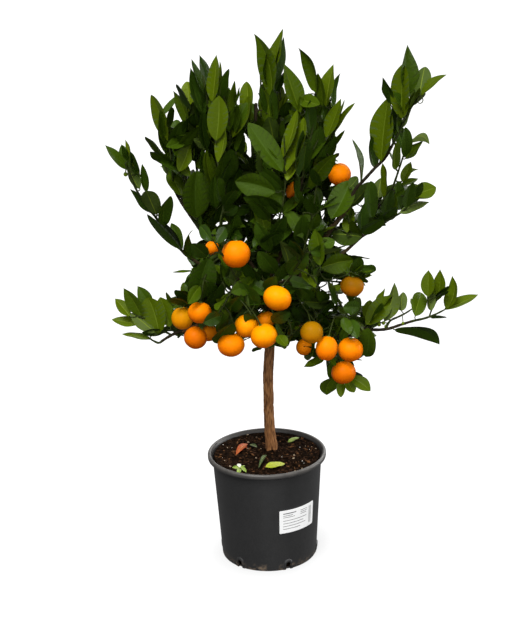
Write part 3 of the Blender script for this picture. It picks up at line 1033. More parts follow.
        (256, 309, 241, 282, 18, "d", "f"), (229, 312, 242, 295, 15, "d", "f"), (291, 315, 264, 317, 11, "k", ""), (212, 304, 222, 284, 12, "k", "f"),
        (297, 320, 306, 303, 14, "k", "r"), (334, 333, 320, 313, 12, "k", ""), (290, 312, 272, 322, 13, "k", ""), (287, 346, 278, 335, 11, "o", ""),
        (289, 345, 291, 322, 8, "k", ""), (253, 352, 262, 345, 5, "d", ""), (304, 357.5, 315, 343, 12, "g", "f"), (298, 300, 286, 284, 13, "d", ""),
        (312, 300, 300, 288, 13, "d", ""), (276, 276, 266, 290, 13, "d", ""), (258, 251, 276, 274, 17, "d", "f"), (286, 262, 278, 282, 12, "d", ""), (244, 262, 256, 282, 13, "k", ""), (304, 322, 294, 306, 12, "k", ""), (322, 342, 324, 326, 7, "k", "b"),
    ],
}
NAMED_STEMS = {
    "LA": ("LA", "bough_left_arch"), "LL": ("LL", "LL2", "bough_lower_left"), "LB": ("LB", "LB2", "LB3"), "LC": ("LC", "LC2", "LC3", "LC4", "bough_left_upright"), "CE": ("CE", "C2"),
    "CF": ("CF", "bough_front"), "RC": ("RC", "RC2", "RC3", "bough_right_upright"), "RA": ("RA", "bough_right"), "RB": ("RB", "bough_right_outer"), "RD": ("RD", "bough_right_side"),
    "RL": ("RL", "RL2", "RL3", "RL4", "bough_lower_right"), "HG": ("HG", "HG2", "bough_hanging"), "FL": ("FL", "bough_front_left"), "UFL": ("UFL", "bough_upper_front_left"),
    "UFR": ("UFR", "bough_upper_front_right"), "FR": ("FR", "FR2", "bough_front_right"), "IR": ("IR1", "IR2"), "IL": ("IL1", "IL2"),
    "IF": ("IF1", "IF2", "IF3", "IF4", "IF5", "IF6", "IF7"),
}


def named_leaf(group, entry, stems, r):
    tx, ty, bx, by, wide, letter, marks = entry[:7]
    bow = entry[7] if len(entry) > 7 else 0.0
    best = None
    for s in stems:
        path, rad, dirs, _ = STEM[s]
        x, y = seen(path)
        # it prefers a place on the shoot that is below the blade
        score = np.hypot(x - bx, y - by) + 0.5 * np.maximum(0, (by - y)) * (ty < by)
        score = score + np.where(np.arange(len(path)) < 2, 2.0, 0.0)
        k = int(np.argmin(score))
        if best is None or score[k] < best[0]:
            best = (score[k], s, k)
    _, s, k = best
    path, rad, dirs, _ = STEM[s]
    root, heading, thick = path[k], dirs[k], rad[k]
    layer = -7.0 if "f" in marks else 8.0 if "b" in marks else float(r.uniform(-3, 3))
    base = at(bx, by, entry[8] if len(entry) > 8 else root[1] + layer)
    scale = mm_per_point(base)
    flat = math.hypot(tx - bx, ty - by) * scale
    length = max(flat * 1.04, min(43.0, flat * 1.45))
    lean = math.sqrt(max(length ** 2 - flat ** 2, 0.0))
    way = -1.0 if "T" in marks else 1.0 if "A" in marks else (1.0 if r.random() < 0.5 else -1.0)
    if "p" in marks:
        lean *= 0.4
    elif "e" in marks or "s" in marks:
        lean *= 0.5
    if letter not in "gm" and "T" not in marks and "A" not in marks:
        ways = []
        for w in (-1.0, 1.0):
            a = unit(at(tx, ty, base[1] + w * lean * 0.97) - base)
            f = unit(np.cross(a, unit(EYE - base)))
            ways.append(float(np.cross(f, a) @ TO_LIGHT))
        way = (-1.0, 1.0)[int(np.argmax(ways) if letter in "oby" else np.argmin(ways))]
    tip = at(tx, ty, base[1] + way * lean * 0.97)
    chord = tip - base
    length = float(np.linalg.norm(chord))
    axis = unit(chord)
    look = unit(EYE - base)
    flank = unit(np.cross(axis, look))
    toward = np.cross(flank, axis)
    true = length * r.uniform(0.44, 0.50)
    want = (wide if wide else 0.36 * math.hypot(tx - bx, ty - by)) * scale
    if "e" in marks:
        true = max(length * 0.36, want)
    true = min(max(true, want * 1.06), length * 0.8)
    roll = math.acos(min(1.0, max(0.12, want / true)))
    lit = float(flank @ TO_LIGHT)
    sign = 1.0 if r.random() < 0.5 else -1.0
    if letter in "oby":
        sign = 1.0 if lit > 0 else -1.0
    elif letter in "kd":
        sign = -1.0 if lit > 0 else 1.0
    roll *= sign
    normal = toward * math.cos(roll) + flank * math.sin(roll)
    if "u" in marks:
        normal = -normal
    curl = r.uniform(0.15, 0.5)
    if "c" in marks:
        curl = 1.1
    if "s" in marks:
        curl = 0.12
    stretch = (curl / 2) / math.sin(curl / 2)
    lead = axis * math.cos(curl * 0.42) + normal * math.sin(curl * 0.42)
    tilt = normal * math.cos(curl * 0.42) - axis * math.sin(curl * 0.42)
    form = (0.62, 0.74) if "r" in marks else (0.72, 1.14) if "p" in marks else (0.98, 0.66) if "w" in marks else (0.70, 0.92)
    leaf = Leaf(base, lead, tilt, length * stretch, true, TINT[letter], fold=r.uniform(0.24, 0.48), curl=curl,
                twist=r.uniform(-0.2, 0.2), wave=r.uniform(0.2, 0.9), phase=r.random(), form=form)
    # brought onto its line in the picture: its end first, then its bow, then its width
    side = np.array([-(ty - by), tx - bx]) / max(math.hypot(tx - bx, ty - by), 1e-6)
    for _ in range(2):
        pts, edge = leaf.outline()
        leaf.reach = leaf.reach + (tip - pts[-1])
        n = len(TEST_T)
        pts, edge = leaf.outline()
        right, left = edge[:n], np.concatenate([edge[n:][::-1]])
        ra, la = np.array(seen(right[2:7])), np.array(seen(left[1:6]))
        mid = (ra + la) / 2
        on = np.array([[bx, by]]) + (TEST_T[2:7, None]) * np.array([[tx - bx, ty - by]])
        off = float(((mid.T - on) @ side).mean())
        bend = float((4 * TEST_T[2:7] * (1 - TEST_T[2:7])).mean())
        leaf.sway = leaf.sway + flank * ((bow * 1.0 - off / bend) * scale)
        across = float(np.abs((ra - la).T @ side).max())
        if "e" not in marks:
            leaf.width *= float(np.clip(want / scale / max(across, 0.5), 0.6, 1.5))
    gap = np.linalg.norm(base - root)
    if gap > 13:
        # a short side twig carries it
        toward_leaf = unit(base - root)
        bend = root + heading * gap * 0.3 + toward_leaf * gap * 0.2
        end = base - leaf.axis * 3.5
        grow(f"{s}_{group}_{bx:.0f}_{by:.0f}", root, heading, min(1.1, thick * 0.8), [bend, end], STEM[s][3], tip=0.75, step=4.0)
        petiole(end, leaf)
    else:
        petiole(root, leaf)
    leaf.put(leaves[STEM[s][3]], FINE)
    note(leaf, True)
    COUNT["named"] += 1


named_rng = np.random.default_rng(SEED + 5)
for group, entries in NAMED.items():
    for entry in entries:
        named_leaf(group, entry, NAMED_STEMS[group], named_rng)

# ----------------------------------------------------- filling shoots and leaves

def tint_near(base, r):
    return int(np.clip(round(base + r.normal() * 0.9), 0, 5))


def leaf_at(node, heading, azimuth, r, size=1.0, open_angle=0.75, tint=2, fine=False, group="leaves_centre", lift=0.22, radius=1.0, tries=2):
    """One leaf from a point of a shoot, if it may stand there."""
    for attempt in range(tries):
        e1 = square_to([0.3, 1.0, 0.2], heading)
        e2 = np.cross(heading, e1)
        out = e1 * math.cos(azimuth + attempt * 0.9) + e2 * math.sin(azimuth + attempt * 0.9)
        angle = open_angle * r.uniform(0.7, 1.3)
        axis = unit(heading * math.cos(angle) + out * math.sin(angle) + UPWARD * lift)
        stalk = r.uniform(4.0, 7.0)
        base = node + out * radius + axis * stalk
        upper = square_to(heading * 0.7 + np.array([-0.12, -0.28, 0.9]) * 0.75 + r.normal(size=3) * 0.28, axis)
        length = size * r.uniform(38, 58)
        deep = 0.8 if -45 < base[1] < 70 and base[2] < 560 and abs(base[0] - 5) < 95 else 0.0
        leaf = Leaf(base, axis, upper, length, length * r.uniform(0.42, 0.53), tint_near(tint - deep, r), fold=r.uniform(0.14, 0.45),
                    curl=r.uniform(0.15, 0.8), twist=r.uniform(-0.4, 0.4), wave=r.uniform(0.2, 1.0), phase=r.random(), form=(0.68, r.uniform(0.76, 1.0)))
        if may_stand(leaf):
            petiole(node + out * radius * 0.3, leaf)
            leaf.put(leaves[group], FINE if fine else PLAIN)
            note(leaf, False)
            COUNT["filling"] += 1
            return True
    return False


def dress(name, first=0.2, gap=10.0, size=1.0, tint=2, open_angle=0.7, lift=0.22, seed=0, fine=False):
    """Leaves all round a shoot, each turned on from the last, and a tuft at its tip."""
    path, rad, dirs, group = STEM[name]
    r = np.random.default_rng(SEED + 31 * seed + sum(map(ord, name)))
    s = np.concatenate([[0], np.cumsum(np.linalg.norm(np.diff(path, axis=0), axis=1))])
    where = s[-1] * first
    turn = r.uniform(0, 6.28)
    while where < s[-1] - 1:
        k = int(np.searchsorted(s, where))
        taper = 1.0 - 0.25 * (where / s[-1]) ** 3
        leaf_at(path[k], dirs[k], turn, r, size * taper, open_angle, tint, fine, group, lift, rad[k] * 0.7)
        turn += 2.40
        where += gap * r.uniform(0.75, 1.25)
    for _ in range(3):
        leaf_at(path[-1], dirs[-1], turn, r, size * 0.75, open_angle * 0.55, min(5, tint + 1), fine, group, lift, 0.3)
        turn += 2.40


for n, (name, spec, pts) in enumerate(SHOOTS):
    low = name.startswith(("I", "HG", "LL", "RL"))
    dress(name, first=0.12, gap=8.5 if not name.startswith(("RA", "LA", "RL", "LL")) else 10.0, tint=2, open_angle=0.85 if low else 0.62,
          lift=0.1 if low else 0.25, seed=n, size=0.85 if low else 0.95)

# mass: root, tip, spread, shoots, droop, stagger, half width, half thickness
MASSES = {
    "spray_left_outer": ((-58, 4, 438), (-113, 36, 644), (34, -16, 34), 3, 26, 12, 31, 25),
    "spray_left_upright": ((-37, -11, 458), (-46, -14, 694), (30, -6, -10), 3, 4, 12, 27, 23),
    "spray_centre": ((13, 0, 455), (17, 2, 715), (17, 6, 0), 2, 0, 8, 24, 22),
    "spray_right_upright": ((40, 0, 459), (85, 8, 682), (33, 10, -34), 3, 12, 12, 27, 23),
    "inner_front_left": ((-34, -62, 432), (-64, -82, 318), (-24, 20, 12), 2, 0, 4, 38, 24),
    "inner_front": ((4, -92, 436), (4, -104, 340), (22, -2, 0), 2, 0, 4, 30, 22),
    "inner_front_right": ((44, -62, 430), (74, -78, 314), (24, 20, 10), 2, 0, 4, 38, 24),
    "inner_right": ((92, 10, 448), (106, 20, 318), (-4, 34, -2), 2, 0, 5, 38, 26),
    "inner_left": ((-78, 6, 424), (-88, 14, 322), (2, 32, 0), 2, 0, 5, 38, 25),
    "inner_back_left": ((-48, 70, 426), (-62, 92, 306), (-26, -22, 4), 2, 0, 5, 38, 26),
    "inner_back_right": ((52, 70, 426), (66, 92, 306), (26, -22, 4), 2, 0, 5, 38, 26),
    "spray_front_left": ((-32, -86, 424), (-66, -150, 492), (-24, 24, 12), 2, 0, 0, 27, 17),
    "spray_front_right": ((34, -86, 420), (52, -158, 476), (26, 18, 16), 2, 0, 0, 27, 17),
    "spray_upper_front_left": ((-46, -62, 450), (-74, -92, 566), (-20, 14, -10), 2, 0, 0, 28, 21),
    "spray_upper_front_right": ((54, -58, 446), (74, -88, 560), (20, 12, -10), 2, 0, 0, 28, 21),
    "spray_back_left": ((-66, 66, 448), (-92, 106, 608), (-32, -14, -24), 3, 8, 8, 30, 24),
    "spray_back_centre": ((-2, 84, 446), (6, 112, 652), (30, 4, -6), 3, 8, 10, 28, 24),
    "spray_back_right": ((70, 68, 452), (104, 104, 606), (32, -12, -22), 3, 8, 8, 30, 24),
    "spray_back_arch": ((0, 118, 424), (0, 190, 512), (50, -14, -4), 3, 6, 0, 29, 16),
    "spray_low_back": ((12, 120, 362), (4, 186, 366), (54, -20, 6), 3, 4, 0, 28, 14),
}
SHOOT_OF = {  # the bough that a mass without drawn shoots grows from
    "spray_back_left": "bough_back_left", "spray_back_centre": "bough_back", "spray_back_right": "bough_back_right",
    "spray_back_arch": "bough_back_arch", "spray_low_back": "bough_low_back",
    "spray_front_left": "bough_front_left", "spray_front_right": "bough_front_right",
    "spray_upper_front_left": "bough_upper_front_left", "spray_upper_front_right": "bough_upper_front_right",
}


def group_of(mass):
    return next(g for g, members in GROUPS.items() if mass in members)


def mass_ends(spec):
    root, tip, spread, tips, droop, stagger, wide, thick = spec
    root, tip, spread = (np.array(q, float) for q in (root, tip, spread))
    along = tip - root
    out = []
    for k in range(tips):
        u = 2 * k / (tips - 1) - 1 if tips > 1 else 0.0
        end = tip + spread * u - unit(along) * droop * u * u
        out.append((root + along * 0.04 + spread * 0.15 * u, end, (-1 if k % 2 else 1) * stagger))
    return out


def mark():
    """The state to go back to when a twig turns out to carry too few leaves."""
    soups = [twigs] + list(leaves.values())
    return [(len(q.v), q.n) for q in soups], len(skeleton.pos), set(STEM), dict(COUNT), cover.copy()


def undo(state):
    soups = [twigs] + list(leaves.values())
    for q, (count, n) in zip(soups, state[0]):
        del q.v[count:], q.f[count:], q.m[count:], q.extra[count:]
        q.n = n
    for q in (skeleton.pos, skeleton.dir, skeleton.rad, skeleton.own):
        del q[state[1]:]
    skeleton.ready = None
    for name in set(STEM) - state[2]:
        del STEM[name]
    COUNT.update(state[3])
    cover[:] = state[4]


def path_seen_ok(path):
    px, py = seen(path)
    c, r = np.clip(px.astype(int), 0, WIDE - 1), np.clip(py.astype(int), 0, HIGH - 1)
    return (~allowed_wide[r, c]).mean() < 0.06


def nearest_limb(target, r, spare=0.0, upto=None):
    pos, dirs, rad, own = skeleton.arrays()
    v = target - pos
    d = np.linalg.norm(v, axis=1)
    along = (v * dirs).sum(1) / np.maximum(d, 1e-6)
    cost = d * (1.25 - 0.35 * along) + 0.35 * np.maximum(0, pos[:, 2] - target[2]) + np.where(d < 7, 12, 0)
    if spare:
        cost = cost * (1 + spare * r.random(len(cost)))
    k = int(np.argmin(cost))
    return pos[k], dirs[k], rad[k], d[k]


def side_twig(name, target, aim, group, r, thick=1.5):
    """A twig from the nearest limb to target, turning to aim."""
    p, d, rad, far = nearest_limb(target, r, 0.25)
    if far > 95 or far < 8:
        return False
    start = unit(d * 0.5 + unit(target - p))
    c1 = p + start * far * 0.35
    c2 = target - unit(aim) * far * 0.3
    s = np.linspace(0, 1, 9)[:, None]
    path = (1 - s) ** 3 * p + 3 * (1 - s) ** 2 * s * c1 + 3 * (1 - s) * s * s * c2 + s ** 3 * target
    if not path_seen_ok(path[2:]):
        return False
    grow(name, p, start, min(thick, max(0.9, rad * 0.7)), path[1::2], group, tip=0.7, step=4.0)
    return True


# the main shoots of the masses at the back and the front
for m, (mass, bough) in enumerate(SHOOT_OF.items()):
    r = np.random.default_rng(SEED + 101 * m)
    spec = MASSES[mass]
    p, d, rad = BOUGH_TIP[bough]
    for k, (start, end, lean) in enumerate(mass_ends(spec)):
        mid = (p + end) / 2 + np.array([r.uniform(-4, 4), r.uniform(-4, 4) + 0.3 * lean, 0.0]) + unit(end - p) * 2
        pts = [p + (mid - p) * 0.5 + d * 5, mid + d * 4, end]
        if not mass.startswith(("spray_front", "spray_upper_front")):
            for _ in range(6):
                if path_seen_ok(Curve([p] + pts).sample(4)):
                    break
                end = end * np.array([0.88, 1, 0.985])
                mid = (p + end) / 2 + unit(end - p) * 2
                pts = [p + (mid - p) * 0.5 + d * 5, mid + d * 4, end]
            grow(f"{mass}_{k}", p, d, min(rad, 2.2), pts, group_of(mass), wobble=1.5)
            dress(f"{mass}_{k}", first=0.12, gap=8.0, tint=2, open_angle=0.7, lift=0.2, seed=200 + m * 7 + k)
        elif k == 1 or mass.startswith("spray_front"):
            path = Curve([p] + pts).sample(4)
            if path_seen_ok(path):
                before = mark()
                grow(f"{mass}_{k}", p, d, min(rad, 2.0), pts, group_of(mass), wobble=1.0)
                dress(f"{mass}_{k}", first=0.15, gap=6.0, tint=3, open_angle=0.8, lift=0.2, seed=200 + m * 7 + k)
                print(mass, k, COUNT["filling"] - before[3]["filling"])
                if COUNT["filling"] - before[3]["filling"] < 5:
                    undo(before)

# side twigs that thicken each mass
twig_rng = np.random.default_rng(SEED + 77)
TWIGS_IN = {
    "spray_left_outer": 10, "spray_left_upright": 9, "spray_centre": 7, "spray_right_upright": 9,
    "inner_front_left": 11, "inner_front": 9, "inner_front_right": 11, "inner_right": 11, "inner_left": 11,
    "inner_back_left": 11, "inner_back_right": 11, "spray_front_left": 5, "spray_front_right": 5,
    "spray_upper_front_left": 7, "spray_upper_front_right": 7, "spray_back_left": 9, "spray_back_centre": 9, "spray_back_right": 9,
    "spray_back_arch": 9, "spray_low_back": 9,
}
CENTRE = np.array([0.0, 0.0, 400.0])
for mass, number in TWIGS_IN.items():
    spec = MASSES[mass]
    ends = mass_ends(spec)
    wide, thick = spec[6], spec[7]
    hanging = mass.startswith("inner")
    made = 0
    for attempt in range(number * 7):
        if made >= number:
            break
        start, end, lean = ends[twig_rng.integers(len(ends))]
        t = twig_rng.uniform(0.18, 0.95)
        along = end - start
        side = square_to(np.array(spec[2], float) + 1e-3, unit(along))
        faceout = np.cross(unit(along), side)
        ang = twig_rng.uniform(0, 2 * math.pi)
        rr = math.sqrt(twig_rng.uniform(0.15, 1.0)) * math.sin(math.pi * t ** 0.86) ** 0.6
        p = start + along * t + side * math.cos(ang) * wide * 0.8 * rr + faceout * math.sin(ang) * thick * 0.8 * rr
        outward = unit((p - CENTRE) * np.array([1, 1, 0.4]))
        aim = unit(along) * (0.15 if hanging else 0.9) + outward * (0.9 if hanging else 0.5) + UPWARD * (0.05 if hanging else 0.2)
        name = f"{mass}_t{made}_{attempt}"
        before = mark()
        if side_twig(name, p, aim, group_of(mass), twig_rng, thick=1.3):
            dress(name, first=0.35, gap=7.0, size=0.86 if hanging else 0.95, tint=2 if hanging else 2.4, open_angle=0.95 if hanging else 0.7,
                  lift=0.05 if hanging else 0.2, seed=500 + attempt)
            if COUNT["filling"] - before[3]["filling"] < 3:
                undo(before)
                continue
            made += 1

# last, leaves where the crown still lets the sky through but shouldn't
close_rng = np.random.default_rng(SEED + 99)
main_mask = inside(CLUMPS["main"], GX, GY) & allowed
for n in range(260):
    bare = main_mask & (cover == 0)
    rows, cols = np.nonzero(bare)
    if len(rows) < 60:
        break
    k = close_rng.integers(len(rows))
    y = close_rng.uniform(-40, 60)
    p = at(cols[k] + 0.5, rows[k] + 0.5, y)
    pos, dirs, rad, own = skeleton.arrays()
    d = np.linalg.norm(pos - p, axis=1)
    if d.min() > 75:
        continue
    up = 1.0 if p[2] > 430 else 0.2
    aim = unit(np.array([0, 0, up]) + unit((p - CENTRE) * np.array([1, 1, 0.4])) * 0.6)
    name = f"close_{n}"
    target = p - aim * 12
    before = mark()
    if side_twig(name, target, aim, "leaves_centre" if abs(p[0]) < 70 else "leaves_left" if p[0] < 0 else "leaves_right", close_rng, thick=1.1):
        dress(name, first=0.55, gap=6.0, size=0.8, tint=1.6, open_angle=0.8, lift=0.15, seed=900 + n)
        if COUNT["filling"] == before[3]["filling"]:
            undo(before)

print("leaves", COUNT, "triangles", {g: s.triangles() for g, s in leaves.items()}, "twigs", twigs.triangles(), "bark", bark.triangles(), "bare", int((main_mask & (cover == 0)).sum()))

# -------------------------------------------------------------- write the plant

def bark_material(name="bark"):
    n = Nodes(name, 0.86, 0.18)
    relief = n.new("ShaderNodeAttribute", attribute_name="relief")
    tone = n.ramp(relief.outputs["Fac"], [(0.02, srgb(67, 41, 22)), (0.40, srgb(118, 78, 45)), (0.95, srgb(163, 117, 74))])
    where = n.coords()
    sep = n.new("ShaderNodeSeparateXYZ")
    n.link(where, sep.inputs[0])
    up = n.new("ShaderNodeMapRange")
    up.inputs["From Min"].default_value = 0.28
    up.inputs["From Max"].default_value = 0.39
    n.link(sep.outputs["Z"], up.inputs["Value"])
    mott = n.noise(n.coords((1, 1, 0.4)), 160, 5.0)
    young = n.ramp(mott, [(0.3, srgb(30, 28, 15)), (0.7, srgb(52, 46, 26))])
    both = n.mix(up.outputs["Result"], tone, young)
    patch = n.noise(n.coords((1, 1, 0.5)), 60, 3.0)
    both = n.mix(n.grey(0.0, 0.25, patch), both, srgb(104, 72, 42), "MIX")
    n.base(both)
    fine = n.noise(n.coords((1, 1, 0.22)), 900, 4.0, 0.65)
    n.normal(n.bump(fine, 0.5, 0.0004))
    return n.mat


def twig_material(name, lo, hi, rough, spec):
    n = Nodes(name, rough, spec)
    f = n.noise(n.coords(), 240, 3.0)
    n.base(n.ramp(f, [(0.3, lo), (0.7, hi)]))
    n.normal(n.bump(n.noise(n.coords((1, 1, 0.3)), 1400, 3.0), 0.35, 0.0003))
    return n.mat


bark_mat = bark_material()
twig_brown = twig_material("twig_brown", srgb(25, 21, 13), srgb(44, 37, 23), 0.7, 0.08)
twig_green = twig_material("twig_green", srgb(27, 34, 11), srgb(48, 57, 20), 0.6, 0.08)

limbs = bark.object("trunk_and_boughs", [bark_mat], sharp=None, attribute="relief")
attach(limbs, "root")
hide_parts("trunk", *[b[0] for b in BOUGHS])

twig_ob = twigs.object("shoots_and_twigs", [twig_brown, twig_green], sharp=70)
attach(twig_ob, "root")

for g, soup in leaves.items():
    ob = soup.object(g, ALL_LEAF_MATS, sharp=60)
    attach(ob, "root")
    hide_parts(*GROUPS[g])

# ---------------------------------------------------------------- fruit meshes

FRUIT_TINTS = [((0.80, 0.262, 0.0005), (0.70, 0.138, 0.0005)), ((0.75, 0.192, 0.0005), (0.64, 0.108, 0.0005)), ((0.56, 0.122, 0.0005), (0.50, 0.080, 0.0005)),
               ((0.53, 0.205, 0.001), (0.54, 0.152, 0.001)), ((0.57, 0.155, 0.001), (0.47, 0.100, 0.001)), ((0.29, 0.126, 0.001), (0.47, 0.150, 0.001)),
               ((0.20, 0.080, 0.001), (0.41, 0.112, 0.001)), ((0.10, 0.15, 0.008), (0.13, 0.18, 0.010))]


def peel(name, colours):
    n = Nodes(name, 0.36, 0.03, (*colours[0], 1.0))
    ripe = n.new("ShaderNodeAttribute", attribute_name="ripe")
    wander = n.new("ShaderNodeMath", operation="ADD")
    n.link(ripe.outputs["Fac"], wander.inputs[0])
    n.link(n.grey(-0.22, 0.22, n.noise(n.coords(), 70, 3.0)), wander.inputs[1])
    n.base(n.ramp(wander.outputs[0], [(0.18, (*colours[0], 1.0)), (0.72, (*colours[1], 1.0))]))
    v = n.new("ShaderNodeTexVoronoi")
    v.inputs["Scale"].default_value = 900
    n.link(n.coords(), v.inputs["Vector"])
    a = n.bump(v.outputs["Distance"], 0.25, 0.0005)
    n.normal(n.bump(n.noise(n.coords(), 260, 3.0), 0.12, 0.0008, a))
    return n.mat


fruit_mats = [peel(f"peel_{i}", c) for i, c in enumerate(FRUIT_TINTS)]
calyx_mat = twig_material("calyx_green", srgb(70, 84, 20), srgb(112, 120, 40), 0.6, 0.15)
stalk_mat = twig_material("stalk_green", srgb(34, 42, 14), srgb(56, 64, 24), 0.6, 0.08)
fruit_soup, stalks = Soup(), Soup()
lump_grain, pit_grain = Grain(31), Grain(32)
fruit_rng = np.random.default_rng(SEED + 8)


def fruit(centre, rx, rz, tint, r):
    """An oblate fruit with a dimple at both poles, faint segments and a pitted peel."""
    pos, dirs, rad, own = skeleton.arrays()
    high = centre + np.array([0, 0, rz + 5])
    d = np.linalg.norm(pos - high, axis=1) + 1.2 * np.maximum(0, centre[2] + 4 - pos[:, 2]) + np.where(np.linalg.norm(pos - centre, axis=1) < rx + 2.5, 40, 0)
    d = d + (1.0 if rx > 4 else 0.0) * np.maximum(0, centre[1] + 2 - pos[:, 1])
    k = int(np.argmin(d))
    hang = unit((pos[k] - centre) * np.array([1, 1, 1]) + np.array([0, 0, 14.0]))
    e1 = square_to([1, 0, 0], hang)
    e2 = np.cross(hang, e1)
    nu, nv = (56, 36) if rx > 4 else (20, 14)
    a = np.arange(nu) * 2 * math.pi / nu
    th = np.linspace(0, math.pi, nv + 1)[1:-1]
    aa, tt = np.meshgrid(a, th)
    unit_dirs = np.stack([np.sin(tt) * np.cos(aa), np.sin(tt) * np.sin(aa), np.cos(tt)], -1)
    seed = r.uniform(0, 50)
    lump = lump_grain(unit_dirs.reshape(-1, 3) * 1.6 + seed).reshape(aa.shape)
    pits = pit_grain(unit_dirs.reshape(-1, 3) * 11 + seed).reshape(aa.shape)
    rr = 1 + 0.012 * lump + 0.0045 * pits + 0.004 * np.cos(9 * aa + seed) * np.sin(tt) ** 2
    dimple = -0.085 * np.exp(-(tt / 0.26) ** 2) - 0.05 * np.exp(-((math.pi - tt) / 0.2) ** 2)
    rr = rr + dimple
    X = unit_dirs[..., 0] * rr * rx
    Y = unit_dirs[..., 1] * rr * rx
    Z = unit_dirs[..., 2] * rr * rz
    P = (centre + X[..., None] * e1 + Y[..., None] * e2 + Z[..., None] * hang).reshape(-1, 3)
    top = centre + hang * rz * (1 - 0.09)
    low = centre - hang * rz * (1 - 0.055)
    m = nv - 1
    i, j = np.meshgrid(np.arange(m - 1), np.arange(nu), indexing="ij")
    kx = (j + 1) % nu
    quads = np.stack([i * nu + j, (i + 1) * nu + j, (i + 1) * nu + kx, i * nu + kx], -1).reshape(-1, 4)
    jj = np.arange(nu)
    kk = (jj + 1) % nu
    capt = np.stack([np.full(nu, m * nu), jj, kk, np.full(nu, -1)], -1)
    capb = np.stack([np.full(nu, m * nu + 1), (m - 1) * nu + kk, (m - 1) * nu + jj, np.full(nu, -1)], -1)
    ripe = np.clip(0.5 - 0.5 * (P - centre) @ np.array([0.0, -0.25, 0.97]) / rz, 0, 1)
    fruit_soup.add(np.concatenate([P, [top], [low]]), np.concatenate([quads, capt, capb]), tint, np.concatenate([ripe, [0.0, 1.0]]))
    # calyx: a small five-lobed button in the dimple
    lobes = 30
    ca = np.arange(lobes) * 2 * math.pi / lobes
    small = min(1.0, rx / 7.0)
    cr = 2.1 * small * (1 + 0.28 * np.cos(5 * ca + seed))
    rim = top + (np.cos(ca) * cr)[:, None] * e1 + (np.sin(ca) * cr)[:, None] * e2 + hang * 0.9
    mid = top + (np.cos(ca) * cr * 0.55)[:, None] * e1 + (np.sin(ca) * cr * 0.55)[:, None] * e2 + hang * (0.9 + 0.6 * small)
    und = rim - hang * 0.55 * small
    v = np.concatenate([und, rim, mid, [top - hang * 0.4], [top + hang * 1.9]])
    j2 = np.arange(lobes)
    k2 = (j2 + 1) % lobes
    q1 = np.stack([j2, k2, lobes + k2, lobes + j2], -1)
    q2 = np.stack([lobes + j2, lobes + k2, 2 * lobes + k2, 2 * lobes + j2], -1)
    t1 = np.stack([np.full(lobes, 3 * lobes), k2, j2, np.full(lobes, -1)], -1)
    t2 = np.stack([np.full(lobes, 3 * lobes + 1), 2 * lobes + j2, 2 * lobes + k2, np.full(lobes, -1)], -1)
    stalks.add(v, np.concatenate([q1, q2, t1, t2]), 0)
    # stalk
    a0, b0 = top + hang * 0.8, pos[k]
    far = np.linalg.norm(b0 - a0)
    c1 = a0 + hang * far * 0.3
    c2 = b0 + (a0 - b0) * 0.3 + np.array([0, 0, 0.05 * far])
    s = np.linspace(0, 1, 12)[:, None]
    path = (1 - s) ** 3 * a0 + 3 * (1 - s) ** 2 * s * c1 + 3 * (1 - s) * s * s * c2 + s ** 3 * b0
    tube(stalks, path, np.linspace(1.0, 0.85, 12) * (0.55 + 0.45 * small), 7, 1)


for p, rx, ry, tint, spot in fruits:
    fruit(p, rx, ry, tint, fruit_rng)
fruit_ob = fruit_soup.object("fruit", fruit_mats, sharp=None, attribute="ripe")
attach(fruit_ob, "root")
fruit_ob.visible_diffuse = False
stalk_ob = stalks.object("fruit_stalks", [calyx_mat, stalk_mat], sharp=50)
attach(stalk_ob, "root")

# ------------------------------------------------------------------------ pot

BASE_R, NECK_R, NECK_Z, RIM_R, MOUTH_R, POT_H, WALL, FLOOR = 65.9, 74.9, 143.2, 81.3, 76.7, 150.2, 1.8, 2.4


def wall_radius(z):
    return BASE_R + (NECK_R - BASE_R) * z / NECK_Z


def lathe(profile, steps, name, mats):
    s = Soup()
    pts = np.array(profile, float)
    on_axis_first, on_axis_last = pts[0], pts[-1]
    body = pts[1:-1]
    a = np.arange(steps) * 2 * math.pi / steps
    ring = np.stack([np.cos(a), np.sin(a)], -1)
    v = np.concatenate([np.stack([ring[:, 0] * r, ring[:, 1] * r, np.full(steps, z)], -1) for r, z in body])
    v = np.concatenate([v, [[0, 0, on_axis_first[1]]], [[0, 0, on_axis_last[1]]]])
    m = len(body)
    i, j = np.meshgrid(np.arange(m - 1), np.arange(steps), indexing="ij")
    k = (j + 1) % steps
    quads = np.stack([i * steps + j, i * steps + k, (i + 1) * steps + k, (i + 1) * steps + j], -1).reshape(-1, 4)
    jj = np.arange(steps)
    kk = (jj + 1) % steps
    c0 = np.stack([np.full(steps, m * steps), kk, jj, np.full(steps, -1)], -1)
    c1 = np.stack([np.full(steps, m * steps + 1), (m - 1) * steps + jj, (m - 1) * steps + kk, np.full(steps, -1)], -1)
    s.add(v, np.concatenate([quads, c0, c1]), 0)
    return s, name, mats


def arc(cx, cz, r, a0, a1, n):
    return [(cx + r * math.cos(math.radians(a0 + (a1 - a0) * k / n)), cz + r * math.sin(math.radians(a0 + (a1 - a0) * k / n))) for k in range(n + 1)]


